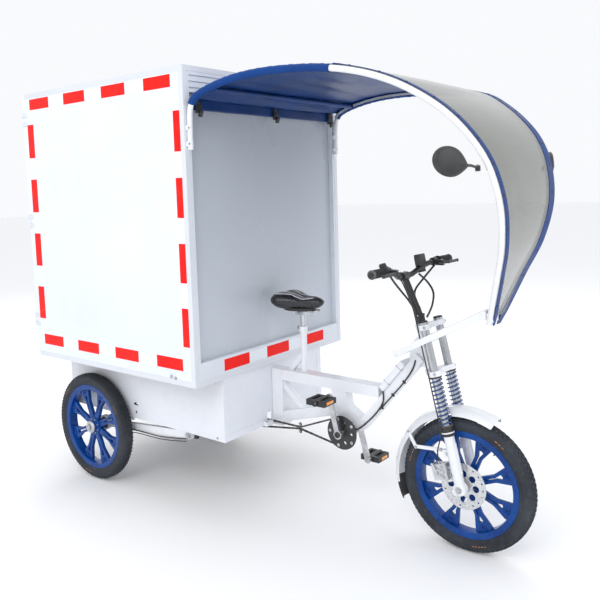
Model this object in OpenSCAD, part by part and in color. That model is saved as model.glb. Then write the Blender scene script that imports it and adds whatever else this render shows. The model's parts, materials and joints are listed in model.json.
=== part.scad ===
// Electric cargo tricycle: two sprung rear wheels under a tall cargo box,
// one steered front wheel in a telescopic fork, a step-through box-section
// frame, and a bent-tube canopy with a clear windscreen over the rider.
// +X is forward, +Y is the rider's left, +Z is up. The origin is on the
// ground, under the middle of the whole machine.

/* [Wheels] */
// Distance between the front and rear axles
wheelbase = 1787; // [1700:1:1850]
// Outer radius of the tyres
tyre_r = 264; // [260:1:268]
// Width of the tyres
tyre_w = 64; // [56:1:66]
// Radius of the rim flange, for a 406 mm bead seat
rim_r = 210; // [208:1:212]
// Number of spokes cast in each wheel
spoke_count = 8; // [6:1:10]
// Distance of each rear wheel's middle from the centre line
rear_wheel_y = 402; // [400:1:406]
// Radius of the front brake disc
disc_r = 90; // [80:1:90]

/* [Cargo box] */
// Length of the box
box_len = 1136; // [1100:1:1150]
// Half of the box's width
box_half = 521; // [515:1:530]
// Height of the box's underside above the ground
box_z0 = 617; // [610:1:625]
// Height of the box's roof above the ground
box_z1 = 1903; // [1860:1:1920]
// Distance from the front axle back to the box's front
box_gap = 930; // [925:1:940]
// Thickness of the side and front sheets
sheet_t = 4; // [3:0.5:6]
// Side of the square corner posts
post_w = 30; // [25:1:34]
// Thickness of the rear doors
door_t = 22; // [18:1:24]
// How far the front sheet sits behind the posts' faces
front_recess = 24; // [18:1:24]

/* [Chassis] */
// Half of the width of the casing under the box
casing_half = 355; // [350:1:358]
// Height of the casing's lower edge
casing_z0 = 335; // [330:1:345]
// Distance from the front axle back to the swing-arm pivot
pivot_back = 1171; // [1150:1:1190]
// Height of the swing-arm pivot
pivot_z = 321; // [318:1:322]

/* [Fork] */
// Angle of the fork from upright
rake = 13.5; // [12:0.5:15]
// Distance of each fork leg from the centre line
leg_y = 62; // [61:1:66]
// Distance of the steering axis behind the fork legs
steer_back = 42; // [38:1:46]
// Travel of the fork
fork_travel = 50; // [40:1:55]

/* [Pedals and saddle] */
// Length of each crank
crank_len = 160; // [150:1:165]
// Angle of the right crank from straight ahead, turning up and back
crank_angle = 105; // [90:1:120]
// Height of the top of the saddle
saddle_top = 955; // [950:1:985]

/* [Hidden] */
$fn = 64;

// the whole length runs from the door handle to the front of the front tyre
handle_proud = 24;
front_axle_x = (box_gap + box_len + handle_proud - tyre_r) / 2;
rear_axle_x = front_axle_x - wheelbase;
box_x1 = front_axle_x - box_gap;
box_x0 = box_x1 - box_len;
side_x0 = box_x0 + door_t + 1.5;
casing_x1 = box_x1 - 10;
casing_x0 = side_x0 + 8;
floor_t = 18;
roof_t = 18;
running = 0.05;

// pivot of the rear swing arms, and the shaft that shares its axis
pivot_x = front_axle_x - pivot_back;
arm_y = 341;
arm_t = 18;
arm_h = 36;
pivot_bolt_r = 8;
mirror_pin_r = 4;

// cranks
bb_x = front_axle_x - 535;
bb_z = 375;
bb_half = 36;
chain_y = -56;
chain_w = 7;
chain_h = 9;
ring_r = 65;
shaft_gear_r = 33;
axle_gear_r = 41;
final_chain_y = -20;

// seat tube and saddle
seat_x = front_axle_x - 772;
seat_tube_r = 14.5;
seatpost_r = 12.5;
seat_tube_top = 800;

// frame heights
beam_z0 = 545;
beam_z1 = 592;
beam_half = 30;
tube_half = 25;
post_x0 = casing_x1;
post_x1 = post_x0 + 60;

// fork, measured along its legs from the front axle
slider_r = 20;
slider_top = 212;
seat_ring_top = 243;
stanchion_r = 16;
lower_crown = [432, 452];
upper_crown = [612, 632];
steerer_r = 14.3;
hub_half = 48;
axle_r = 7.5;

// handlebar
bar_r = 11;
grip_r = 16;
bar_path = [
    [-262, 30, 1052], [-258, 60, 1056], [-244, 115, 1080],
    [-232, 165, 1092], [-226, 208, 1094]
];
bar_tip = [-220, 318, 1095];

// side rail of the canopy: distance ahead of the front axle, distance from
// the centre line, height
rail_path = [
    [-918, 502, 1575], [-918, 502, 1660], [-908, 502, 1745],
    [-860, 502, 1785], [-720, 502, 1818], [-560, 502, 1829],
    [-380, 502, 1820], [-230, 498, 1800], [-110, 458, 1768],
    [-20, 395, 1722], [75, 348, 1650], [150, 318, 1565],
    [200, 278, 1465], [222, 236, 1335], [205, 180, 1200],
    [165, 118, 1085], [125, 66, 970], [100, 30, 900]
];
rail_r = 11;
fabric_from = 2.6;
fabric_to = 6.98;
screen_from = 7.04;
screen_to = 16.3;

// brake cable from the lever, past the head and down the right fork leg
cable_path = [
    [-208.5, -180.7, 1090], [-207, -150, 1078], [-196, -120, 1030],
    [-178, -92, 950], [-163, -87, 883], [-140, -87, 786],
    [-116, -87, 689], [-93, -87, 591], [-70, -87, 494],
    [-74, -84, 442], [-89.5, -70, 397], [-96.5, -52, 359],
    [-95.5, -46, 336.4]
];

// ---------------------------------------------------------------- helpers

function seg_len(a, b) = norm(b - a);

// places children along the line from a to b, which becomes their +X
module along(a, b) {
    d = b - a;
    translate(a)
        rotate([0, -asin(d.z / norm(d)), atan2(d.y, d.x)])
            children();
}

// a solid bar of rectangular section from a to b
module bar(a, b, w, h) {
    along(a, b)
        translate([0, -w / 2, -h / 2])
            cube([seg_len(a, b), w, h]);
}

// a closed box-section tube from a to b
module box_tube(a, b, w, h, wall = 2.5, cap = 6) {
    along(a, b)
        difference() {
            translate([0, -w / 2, -h / 2])
                cube([seg_len(a, b), w, h]);
            translate([cap, -w / 2 + wall, -h / 2 + wall])
                cube([seg_len(a, b) - 2 * cap, w - 2 * wall, h - 2 * wall]);
        }
}

// a round rod from a to b
module rod(a, b, r) {
    along(a, b)
        rotate([0, 90, 0])
            cylinder(h = seg_len(a, b), r = r);
}

// a cylinder about a line parallel to Y, from y0 to y1
module y_cyl(x, z, r, y0, y1) {
    translate([x, y0, z])
        rotate([-90, 0, 0])
            cylinder(h = y1 - y0, r = r);
}

// an outline drawn in X and Z, given a thickness from y0 to y1
module side_plate(y0, y1) {
    translate([0, y1, 0])
        rotate([90, 0, 0])
            linear_extrude(y1 - y0)
                children();
}

// children in the fork's own axes: origin at the axle, +Z up the legs
module fork_axes() {
    translate([front_axle_x, 0, tyre_r])
        rotate([0, -rake, 0])
            children();
}

// children on the right, and again mirrored to the left
module both_sides() {
    children();
    mirror([0, 1, 0])
        children();
}

// smooth curve through a list of points; t counts the points
function spline_k(p, i) = p[max(0, min(len(p) - 1, i))];
function spline(p, t) =
    let (i = min(floor(t), len(p) - 2), u = t - i,
         a = spline_k(p, i - 1), b = spline_k(p, i),
         c = spline_k(p, i + 1), d = spline_k(p, i + 2))
    0.5 * (2 * b + (c - a) * u + (2 * a - 5 * b + 4 * c - d) * u * u
           + (3 * b - a - 3 * c + d) * u * u * u);

// a tube of radius r swept through the points, with the given sides
function unit(v) = v / norm(v);
function tangent(q, i) =
    unit(q[min(i + 1, len(q) - 1)] - q[max(i - 1, 0)]);
module sweep(q, r, sides) {
    ref = abs(unit(q[len(q) - 1] - q[0]).x) > 0.9 ? [0, 1, 0] : [1, 0.02, 0];
    n = len(q);
    rings = [
        for (i = [0 : n - 1])
            let (t = tangent(q, i), s = unit(cross(t, ref)), v = cross(s, t))
            for (k = [0 : sides - 1])
                q[i] + r * (cos(360 * k / sides) * s
                            + sin(360 * k / sides) * v)
    ];
    walls = [
        for (i = [0 : n - 2])
            for (k = [0 : sides - 1])
                let (k2 = (k + 1) % sides)
                [i * sides + k, i * sides + k2,
                 (i + 1) * sides + k2, (i + 1) * sides + k]
    ];
    first = [for (k = [sides - 1 : -1 : 0]) k];
    last = [for (k = [0 : sides - 1]) (n - 1) * sides + k];
    polyhedron(points = rings, faces = concat([first], walls, [last]));
}

// a coil spring standing on z0, about the Z axis
module coil(r, wire, z0, z1, turns, steps = 12, sides = 6) {
    n = turns * steps;
    q = [
        for (i = [0 : n])
            [r * cos(360 * i / steps), r * sin(360 * i / steps),
             z0 + wire + (z1 - z0 - 2 * wire) * i / n]
    ];
    rings = [
        for (i = [0 : n])
            let (a = 360 * i / steps)
            for (k = [0 : sides - 1])
                let (b = 360 * k / sides)
                [(r + wire * cos(b)) * cos(a), (r + wire * cos(b)) * sin(a),
                 q[i].z + wire * sin(b)]
    ];
    walls = [
        for (i = [0 : n - 1])
            for (k = [0 : sides - 1])
                let (k2 = (k + 1) % sides)
                [i * sides + k, i * sides + k2,
                 (i + 1) * sides + k2, (i + 1) * sides + k]
    ];
    first = [for (k = [sides - 1 : -1 : 0]) k];
    last = [for (k = [0 : sides - 1]) n * sides + k];
    polyhedron(points = rings, faces = concat([first], walls, [last]));
}

// the canopy rail's point in the frame, on the right (side -1) or left (1)
function rail(t, side) =
    let (p = spline(rail_path, t))
    [front_axle_x + p.x, side * p.y, p.z];

// a thin sheet held between the two rails from t0 to t1, lifted off them
module rail_sheet(t0, t1, rows, cols, thick, lift, beyond) {
    pts = [
        for (layer = [0, 1])
            for (i = [0 : rows])
                let (t = t0 + (t1 - t0) * i / rows, p = rail(t, 1),
                     d = rail(t + 0.05, 1) - rail(t - 0.05, 1),
                     n = unit([-d.z, 0, d.x]),
                     o = lift + (layer - 0.5) * thick,
                     w = p.y + beyond)
                for (j = [0 : cols])
                    [p.x + n.x * o, w * (2 * j / cols - 1), p.z + n.z * o]
    ];
    m = cols + 1;
    b = (rows + 1) * m;
    top = [
        for (i = [0 : rows - 1], j = [0 : cols - 1])
            [b + i * m + j, b + (i + 1) * m + j,
             b + (i + 1) * m + j + 1, b + i * m + j + 1]
    ];
    under = [
        for (i = [0 : rows - 1], j = [0 : cols - 1])
            [i * m + j, i * m + j + 1,
             (i + 1) * m + j + 1, (i + 1) * m + j]
    ];
    ends = [
        for (j = [0 : cols - 1])
            [j, b + j, b + j + 1, j + 1],
        for (j = [0 : cols - 1])
            [rows * m + j, rows * m + j + 1,
             b + rows * m + j + 1, b + rows * m + j]
    ];
    sides = [
        for (i = [0 : rows - 1])
            [i * m, (i + 1) * m, b + (i + 1) * m, b + i * m],
        for (i = [0 : rows - 1])
            [i * m + cols, b + i * m + cols,
             b + (i + 1) * m + cols, (i + 1) * m + cols]
    ];
    polyhedron(points = pts, faces = [
        for (f = concat(top, under, ends, sides))
            [for (k = [3 : -1 : 0]) f[k]]
    ]);
}

// ------------------------------------------------------------------ frame

// distances ahead of the front axle become places in the frame
function ahead(x, z) = [front_axle_x + x, 0, z];

// centre line of the down tube
down_low = ahead(-470, 400);
down_high = ahead(-186, 738);

module main_beam() {
    color("white")
    difference() {
        union() {
            box_tube([post_x1, 0, (beam_z0 + beam_z1) / 2],
                     ahead(-372, (beam_z0 + beam_z1) / 2),
                     2 * beam_half, beam_z1 - beam_z0);
            box_tube(down_low, down_high, 2 * tube_half, 40);
            side_plate(-beam_half + 4, beam_half - 4)
                translate([front_axle_x, 0])
                    polygon([[-612, beam_z0 + 5], [-540, beam_z0 + 5],
                             [-530, 478], [-478, 446], [-445, 405],
                             [-470, 380], [-545, 350], [-566, 380],
                             [-575, 425], [-604, 470]]);
            y_cyl(bb_x, bb_z, 22, -bb_half, bb_half);
            fork_axes()
                translate([-steer_back, 0, lower_crown[1] + 2])
                    cylinder(h = upper_crown[0] - lower_crown[1] - 4, r = 24);
            side_plate(-12, 12)
                translate([front_axle_x, 0])
                    polygon([[-236, 690], [-150, 700], [-180, 838],
                             [-236, 782]]);
        }
        y_cyl(bb_x, bb_z, 12 + running, -bb_half - 1, bb_half + 1);
        fork_axes()
            translate([-steer_back, 0, 400])
                cylinder(h = 300, r = steerer_r + running);
    }
}

lower_start = [post_x1, 0, 372];
lower_end = ahead(-600, 452);

module rear_frame() {
    color("white")
    union() {
        difference() {
            translate([post_x0, -beam_half, 328])
                cube([60, 2 * beam_half, beam_z1 - 328]);
            translate([post_x0 + 3, -beam_half + 3, 336])
                cube([54, 2 * beam_half - 6, beam_z1 - 344]);
        }
        difference() {
            box_tube(lower_start - [12, 0, 3], lower_end, 2 * tube_half, 46);
            translate([post_x0, -50, 300])
                cube([30, 100, 200]);
            side_plate(-40, 40)
                translate([front_axle_x, 0])
                    polygon([[-612, 560], [-604, 470], [-575, 425],
                             [-566, 380], [-400, 380], [-400, 560]]);
        }
        bar([post_x1 - 8, 0, 520], ahead(-770, 418), 30, 24);
    }
}

module seat_tube() {
    color("white")
    difference() {
        union() {
            translate([seat_x, 0, beam_z1])
                cylinder(h = seat_tube_top - beam_z1, r = seat_tube_r);
            translate([seat_x, 0, seat_tube_top - 26])
                cylinder(h = 26, r = seat_tube_r + 4);
            difference() {
                bar([seat_x, 0, 672], [seat_x - 78, 0, beam_z1 - 6], 22, 20);
                translate([seat_x - 120, -40, beam_z1 - 40])
                    cube([200, 80, 40]);
            }
        }
        translate([seat_x, 0, beam_z1 - 1])
            cylinder(h = 300, r = seatpost_r + running);
    }
}

// two arms that pass outside the fork legs and carry the canopy's tip
module canopy_boom() {
    color("white")
    union() {
        both_sides() {
            bar(ahead(-238, 766) + [0, -112, 0],
                ahead(-96, 842) + [0, -101, 0], 20, 24);
            bar(ahead(-104, 838) + [0, -102, 0],
                ahead(84, 937.5) + [0, -35.6, 0], 20, 24);
        }
        translate([front_axle_x - 250, -122, 752])
            cube([14, 244, 22]);
        translate([front_axle_x + 80, -50, 916])
            cube([14, 100, 34]);
    }
}

module battery_case() {
    color("whitesmoke")
    along(down_low, down_high)
        translate([214, -38, 20])
            cube([160, 76, 28]);
}

// ---------------------------------------------------------------- chassis

module chassis_casing() {
    w = casing_half;
    color("white")
    difference() {
        translate([casing_x0, -w, casing_z0])
            cube([casing_x1 - casing_x0, 2 * w, box_z0 - casing_z0]);
        translate([casing_x0 + 3, -w + 3, casing_z0 - 1])
            cube([casing_x1 - casing_x0 - 6, 2 * w - 6, 300]);
        // raised border of the front sheet
        translate([casing_x1 - 1.5, -w + 34, casing_z0 + 28])
            cube([3, 2 * w - 68, box_z0 - casing_z0 - 56]);
        // way in for the chain
        translate([casing_x1 - 10, chain_y - 14, casing_z0 - 1])
            cube([20, 28, 56]);
        // slot and hole beside each wheel
        for (s = [-1, 1]) {
            translate([rear_axle_x + 246, s * w - 6, 400])
                cube([34, 12, 14]);
            y_cyl(rear_axle_x + 262, 366, 7, s * w - 6, s * w + 6);
        }
    }
}

module chassis_rails() {
    z0 = box_z0 - 40;
    cross_x = [casing_x1 - 50, rear_axle_x + 110, rear_axle_x - 190];
    color("dimgray") {
        // the two long rails, each with its pivot plate
        for (s = [-1, 1])
            difference() {
                union() {
                    translate([casing_x0 + 4, s * 300 - 20, z0])
                        cube([casing_x1 - casing_x0 - 8, 40, 40]);
                    translate([pivot_x - 30, s * 322 - 8, pivot_z - 18])
                        cube([60, 16, z0 - pivot_z + 58]);
                }
                y_cyl(pivot_x, pivot_z, pivot_bolt_r, s * 322 - 12,
                      s * 322 + 12);
                translate([casing_x0 + 12, s * 300 - 16, z0 + 3])
                    cube([casing_x1 - casing_x0 - 24, 32, 34]);
            }
        // spring hangers bolted under the rails
        for (s = [-1, 1])
            translate([rear_axle_x + 130, s * 262, z0 - 20])
                cylinder(h = 19.7, r = 34);
        // cross members between them
        for (x = cross_x)
            cross_member(x, z0);
        difference() {
            union() {
                cross_member(pivot_x - 20, z0);
                // carriers of the cross shaft's bearings
                for (y = [-92, 14])
                    translate([pivot_x - 22, y, pivot_z - 24])
                        cube([44, 14, z0 - pivot_z + 28]);
            }
            y_cyl(pivot_x, pivot_z, 10 + running, -100, 40);
        }
    }
}

module cross_member(x, z0) {
    translate([x, -279.7, z0 + 2])
        difference() {
            cube([40, 559.4, 36]);
            translate([3, 4, 3])
                cube([34, 551.4, 30]);
        }
}

module frame_bolts() {
    color("dimgray")
    union() {
        for (s = [-1, 1]) {
            y_cyl(pivot_x, pivot_z, pivot_bolt_r, s * 338 - 17, s * 338 + 17);
            y_cyl(pivot_x, pivot_z, 13, s * 356 - 3.5, s * 356 + 3.5);
        }
    }
}

// -------------------------------------------------------------- cargo box

module cargo_floor() {
    color("burlywood")
    union() {
        translate([side_x0, -box_half + sheet_t, box_z0])
            cube([box_x1 - side_x0, 2 * (box_half - sheet_t), floor_t]);
        // the lining that goods stand on, inside the posts and panels
        translate([box_x0 + 60, -478, box_z0 + floor_t])
            cube([box_x1 - 35 - box_x0 - 60, 956, 2]);
    }
}

module cargo_roof() {
    color("white")
    translate([side_x0, -box_half + sheet_t, box_z1 - roof_t])
        cube([box_x1 - side_x0, 2 * (box_half - sheet_t), roof_t]);
}

module cargo_side() {
    difference() {
        translate([side_x0, -box_half, box_z0])
            cube([box_x1 - side_x0, sheet_t, box_z1 - box_z0]);
        // small drain and key holes low down near the front
        y_cyl(box_x1 - 150, box_z0 + 24, 5, -box_half - 1,
              -box_half + sheet_t + 1);
    }
}

module cargo_side_right() {
    color("white")
    cargo_side();
}

module cargo_side_left() {
    color("white")
    mirror([0, 1, 0])
        cargo_side();
}

frame_y = box_half - sheet_t;
frame_z0 = box_z0 + floor_t;
frame_z1 = box_z1 - roof_t;

module cargo_front_panel() {
    color("gainsboro")
    translate([box_x1 - front_recess - sheet_t, -frame_y + post_w, frame_z0])
        cube([sheet_t, 2 * (frame_y - post_w), frame_z1 - frame_z0]);
}

module cargo_frame() {
    h = frame_z1 - frame_z0;
    inner = 2 * (frame_y - post_w);
    color("white")
    union() {
        for (x = [side_x0, box_x1 - post_w], s = [-1, 1])
            translate([x, s > 0 ? frame_y - post_w : -frame_y, frame_z0])
                cube([post_w, post_w, h]);
        for (z = [frame_z0, frame_z1 - post_w], s = [-1, 1])
            translate([side_x0 + post_w - 1,
                       s > 0 ? frame_y - post_w : -frame_y, z])
                cube([box_x1 - side_x0 - 2 * post_w + 2, post_w, post_w]);
        // front beams stand ahead of the recessed sheet
        translate([box_x1 - front_recess, -frame_y + post_w - 1, frame_z0])
            cube([front_recess, inner + 2, 78]);
        difference() {
            translate([box_x1 - front_recess, -frame_y + post_w - 1,
                       frame_z1 - 84])
                cube([front_recess, inner + 2, 84]);
            for (i = [0 : 2])
                translate([box_x1 - 6, -frame_y + post_w,
                           frame_z1 - 74 + 24 * i])
                    cube([10, inner, 10]);
        }
        // sill and header of the doorway
        translate([side_x0, -frame_y + post_w - 1, frame_z0])
            cube([post_w, inner + 2, 40]);
        translate([side_x0, -frame_y + post_w - 1, frame_z1 - 50])
            cube([post_w, inner + 2, 50]);
    }
}

// one strip of short tape blocks from a to b along one line
module tape_row(count, pitch, block, wide, vertical) {
    for (i = [0 : count - 1])
        if (vertical)
            translate([0, 0, i * pitch])
                cube([wide, 0.6, block]);
        else
            translate([i * pitch, 0, 0])
                cube([block, 0.6, wide]);
}

tape_block = 160;
tape_w = 50;

module side_tape() {
    y = -box_half - 0.6;
    x_in = box_x1 - 70;
    translate([side_x0 + 44, y, box_z0 + 62])
        tape_row(4, (x_in - side_x0 - 44 - tape_block) / 3, tape_block,
                 tape_w, false);
    translate([side_x0 + 44, y, box_z1 - 78])
        tape_row(4, (x_in - side_x0 - 44 - tape_block) / 3, tape_block,
                 tape_w, false);
    translate([side_x0 + 16, y, box_z0 + 190])
        tape_row(4, 263, tape_block, tape_w, true);
    translate([box_x1 - 62, y, box_z0 + 165])
        tape_row(4, 263, tape_block, tape_w, true);
}

module reflective_tape() {
    color("red")
    union() {
        both_sides()
            side_tape();
        for (i = [0 : 2])
            translate([box_x1, -350 + i * 280, frame_z0 + 16])
                cube([0.6, tape_block, tape_w]);
    }
}

module door_hinges() {
    color("silver")
    both_sides()
        for (z = [box_z0 + 150, (box_z0 + box_z1) / 2, box_z1 - 150])
            translate([box_x0 - 5, -box_half + 5, z]) {
                cylinder(h = 60, r = 3);
                cylinder(h = 18, r = 5.5);
                translate([0, 0, 42])
                    cylinder(h = 18, r = 5.5);
                for (k = [0, 42])
                    translate([0, -7, k])
                        cube([44, 2, 18]);
                for (k = [0, 42])
                    translate([-3, -6, k])
                        cube([6, 4, 18]);
            }
}

// one door, hinged on its outer edge
module rear_door() {
    top = box_z1 - 3;
    low = box_z0 + 3;
    difference() {
        union() {
            translate([box_x0, -box_half + 3, low])
                cube([door_t, box_half - 4.5, top - low]);
            for (z = [box_z0 + 150, (box_z0 + box_z1) / 2, box_z1 - 150])
                translate([box_x0 - 5, -box_half + 5, z + 18.5]) {
                    cylinder(h = 23, r = 5.5);
                    translate([2, 0, 0])
                        cube([4, 50, 23]);
                }
        }
        // raised border
        translate([box_x0 - 1, -box_half + 50, low + 50])
            cube([3, box_half - 100, top - low - 100]);
        for (z = [box_z0 + 150, (box_z0 + box_z1) / 2, box_z1 - 150])
            translate([box_x0 - 5, -box_half + 5, z]) {
                cylinder(h = 60, r = 3 + running);
                for (k = [-0.5, 41.5])
                    translate([-6.5, -8, k])
                        cube([13, 14.5, 19]);
            }
    }
}

module rear_door_right() {
    color("white")
    difference() {
        rear_door();
        // socket of the handle's spindle
        translate([box_x0 - 1, -60, 1180])
            rotate([0, 90, 0])
                cylinder(h = 16, r = 8 + running);
    }
}

module rear_door_left() {
    color("white")
    mirror([0, 1, 0])
        rear_door();
}

module door_handle() {
    color("dimgray")
    translate([box_x0 + 2, -60, 1180]) {
        translate([-15, 0, 0])
            rotate([0, 90, 0])
                cylinder(h = 27, r = 8);
        translate([-handle_proud - 2, -14, -60])
            cube([13, 28, 120]);
    }
}

// ---------------------------------------------------------------- canopy

module canopy_frame() {
    steps = 4;
    n = (len(rail_path) - 1) * steps;
    color("white")
    union() {
        for (side = [-1, 1])
            sweep([for (i = [0 : n]) rail(i / steps, side)], rail_r, 10);
        for (t = [3.4, 7])
            let (p = rail(t, 1))
            y_cyl(p.x, p.z, 9, -p.y, p.y);
        both_sides()
            mirror_mount();
        // shoes that hold each leg to its post
        for (side = [-1, 1], z = [1588, 1650])
            translate([box_x1, side * 502 - 14, z])
                cube([14, 28, 20]);
        translate([front_axle_x + 94, -46, 908])
            cube([26, 92, 34]);
    }
}

// middle of the cloth's rear edge, on top of the rails
sheet_lift = rail_r + 2;
flap_dir = unit(rail(fabric_from + 0.05, 1) - rail(fabric_from - 0.05, 1));
flap_top = rail(fabric_from, 1)
           + sheet_lift * unit([-flap_dir.z, 0, flap_dir.x]);

module canopy_fabric() {
    color("royalblue")
    union() {
        rail_sheet(fabric_from, fabric_to, 18, 6, 3, sheet_lift, 8);
        // flap that closes the gap down the front of the box
        side_plate(-486, 486)
            polygon([[box_x1 + 3, box_z1 - 172],
                     [box_x1 + 6, box_z1 - 172],
                     [box_x1 + 6, flap_top.z - 4],
                     [flap_top.x + 2, flap_top.z - 1.5],
                     [flap_top.x + 2, flap_top.z + 1.5],
                     [box_x1 + 3, flap_top.z]]);
    }
}

module windscreen() {
    color([0.6, 0.62, 0.58, 0.45])
    rail_sheet(screen_from, screen_to, 30, 6, 3, sheet_lift, 6);
}

// one mirror on its own short arm
mirror_ball = rail(12.05, -1) + [-24, -34, 0];

module mirror_head() {
    c = mirror_ball;
    color("black")
    difference() {
        union() {
            translate(c - [0, 0, 10])
                cylinder(h = 18, r = 8.5);
            rod(c, c + [-0.7, -103, 8.4], 4);
            translate(c + [-24, -153, 20])
                rotate([0, 0, -25])
                    rotate([-12, 0, 0])
                        rotate([0, 90, 0])
                            linear_extrude(16, center = true)
                                mirror_outline();
        }
        translate(c - [0, 0, 20])
            cylinder(h = 40, r = mirror_pin_r + running);
    }
}

// lug on the canopy's side tube, and the pin that the mirror turns on
module mirror_mount() {
    c = mirror_ball;
    translate(c - [0, 0, 13])
        cylinder(h = 24, r = mirror_pin_r);
    bar(c + [26, 36, -12.6], c + [0, 0, -12.6], 12, 4);
    translate(c - [0, 0, 14.6])
        cylinder(h = 4, r = 8);
}

// shield with its point towards the arm
module mirror_outline() {
    union() {
        circle(r = 46);
        translate([0, -26])
            circle(r = 38);
        polygon([[-42, 16], [42, 16], [10, 72], [-10, 72]]);
    }
}

module mirror_right() {
    mirror_head();
}

module mirror_left() {
    mirror([0, 1, 0])
        mirror_head();
}

// ------------------------------------------------------------- rear axle

module swing_arms() {
    color("white")
    difference() {
        both_sides()
            translate([0, -arm_y, 0])
                union() {
                    bar([pivot_x, 0, pivot_z], [rear_axle_x, 0, tyre_r],
                        arm_t - 2, arm_h);
                    y_cyl(pivot_x, pivot_z, 20, -arm_t / 2, arm_t / 2);
                    y_cyl(rear_axle_x, tyre_r, 38, -arm_t / 2, arm_t / 2);
                    translate([rear_axle_x + 130, arm_t / 2 + 70, 300])
                        cylinder(h = 8, r = 34);
                    translate([rear_axle_x + 100, -2, 290])
                        cube([60, 60, 12]);
                }
        y_cyl(pivot_x, pivot_z, pivot_bolt_r + running, -400, 400);
        y_cyl(rear_axle_x, tyre_r, 30, -400, 400);
    }
}

module axle_housing() {
    color("dimgray")
    difference() {
        union() {
            y_cyl(rear_axle_x, tyre_r, 30, -arm_y - arm_t / 2,
                  arm_y + arm_t / 2);
            y_cyl(rear_axle_x, tyre_r, 72, 8, 96);
            y_cyl(rear_axle_x + 116, tyre_r + 10, 52, 20, 190);
            translate([rear_axle_x, 30, tyre_r - 30])
                cube([110, 56, 70]);
        }
        for (s = [-1, 1])
            y_cyl(rear_axle_x, tyre_r, 12 + running,
                  s > 0 ? 120 : -400, s > 0 ? 400 : -120);
        y_cyl(rear_axle_x, tyre_r, 24, -118, -2);
    }
}

spring_x = rear_axle_x + 130;

module rear_springs() {
    color("black")
    for (s = [-1, 1])
        translate([spring_x, s * 262, 0])
            coil(26, 5, 308.5, box_z0 - 60.5, 7);
}

// where a line from p touches a circle, above (side 1) or below (side -1)
function touch(c, r, p, side) =
    let (v = p - c, phi = atan2(v.y, v.x), a = acos(r / norm(v)))
    c + r * [cos(phi + side * a), sin(phi + side * a)];

// chain wrapped round a sprocket, except where it leaves towards p
module chain_wrap(c, r, p, y) {
    a = touch(c, r, p, 1);
    b = touch(c, r, p, -1);
    side_plate(y - chain_w / 2, y + chain_w / 2)
        difference() {
            translate(c)
                circle(r = r + chain_h / 2);
            translate(c)
                circle(r = r - chain_h / 2);
            polygon([c, c + 3 * (a - c), c + 3 * (a - c) + 2 * (p - c),
                     c + 3 * (b - c) + 2 * (p - c), c + 3 * (b - c)]);
        }
}

// straight run of chain between two points of the X-Z plane, let 1 mm into
// what it joins
module chain_run(a, b, y) {
    d = (b - a) / norm(b - a);
    bar([a.x - d.x, y, a.y - d.y], [b.x, y, b.y],
        chain_w - 0.6, chain_h - 0.8);
}

// a chain round two sprockets; both runs pass the middle point, pinch apart
module chain_loop(c0, r0, c1, r1, mid, pinch, y) {
    up = mid + [0, pinch];
    down = mid - [0, pinch];
    union() {
        chain_wrap(c0, r0, mid, y);
        chain_wrap(c1, r1, mid, y);
        for (c = [[c0, r0, 1], [c1, r1, -1]]) {
            chain_run(touch(c[0], c[1], up, c[2]), up, y);
            chain_run(touch(c[0], c[1], down, -c[2]), down, y);
        }
        for (p = [up, down])
            y_cyl(p.x, p.y, chain_h / 2 + 0.5,
                  y - chain_w / 2 - 0.1, y + chain_w / 2 + 0.1);
    }
}

module pedal_chain() {
    color("dimgray")
    chain_loop([pivot_x, pivot_z], shaft_gear_r, [bb_x, bb_z], ring_r,
               [front_axle_x - 762, 350], 9, chain_y);
}

module axle_chain() {
    color("dimgray")
    chain_loop([rear_axle_x, tyre_r], axle_gear_r, [pivot_x, pivot_z],
               shaft_gear_r, [(rear_axle_x + pivot_x) / 2,
               (tyre_r + pivot_z) / 2], 37, final_chain_y);
}

// a sprocket disc that fills the inside of its chain
module sprocket(x, z, r, y, hole) {
    body = r - chain_h / 2 - 0.5;
    difference() {
        y_cyl(x, z, body, y - 1.5, y + 1.5);
        y_cyl(x, z, hole, y - 3, y + 3);
    }
}

module jackshaft() {
    color("silver")
    union() {
        y_cyl(pivot_x, pivot_z, 10, -96, 32);
        for (y = [chain_y, final_chain_y]) {
            sprocket(pivot_x, pivot_z, shaft_gear_r, y, 9);
            y_cyl(pivot_x, pivot_z, 16, y - 6, y + 6);
        }
    }
}

module axle_sprocket() {
    color("silver")
    difference() {
        union() {
            sprocket(rear_axle_x, tyre_r, axle_gear_r, final_chain_y, 20);
            y_cyl(rear_axle_x, tyre_r, 34, final_chain_y - 8,
                  final_chain_y + 8);
        }
        y_cyl(rear_axle_x, tyre_r, 30 + running, -60, 30);
    }
}

// ---------------------------------------------------------------- wheels

// tyre about the Y axis, round its own middle
module tyre_ring() {
    rotate([90, 0, 0])
        rotate_extrude($fn = 128)
            difference() {
                translate([tyre_r - tyre_w / 2, 0])
                    circle(r = tyre_w / 2);
                translate([tyre_r - tyre_w / 2, 0])
                    circle(r = tyre_w / 2 - 7);
                translate([rim_r - 60, -tyre_w])
                    square([60, 2 * tyre_w]);
            }
}

// one spoke: two thin legs from the hub to a wide head at the rim
module spoke() {
    difference() {
        polygon([[34, -13], [34, 13], [120, 12], [178, 32], [194, 30],
                 [194, -30], [178, -32], [120, -12]]);
        polygon([[62, 0], [118, -5], [146, -11], [150, 0], [146, 11],
                 [118, 5]]);
        translate([172, 0])
            circle(r = 6);
    }
}

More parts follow.
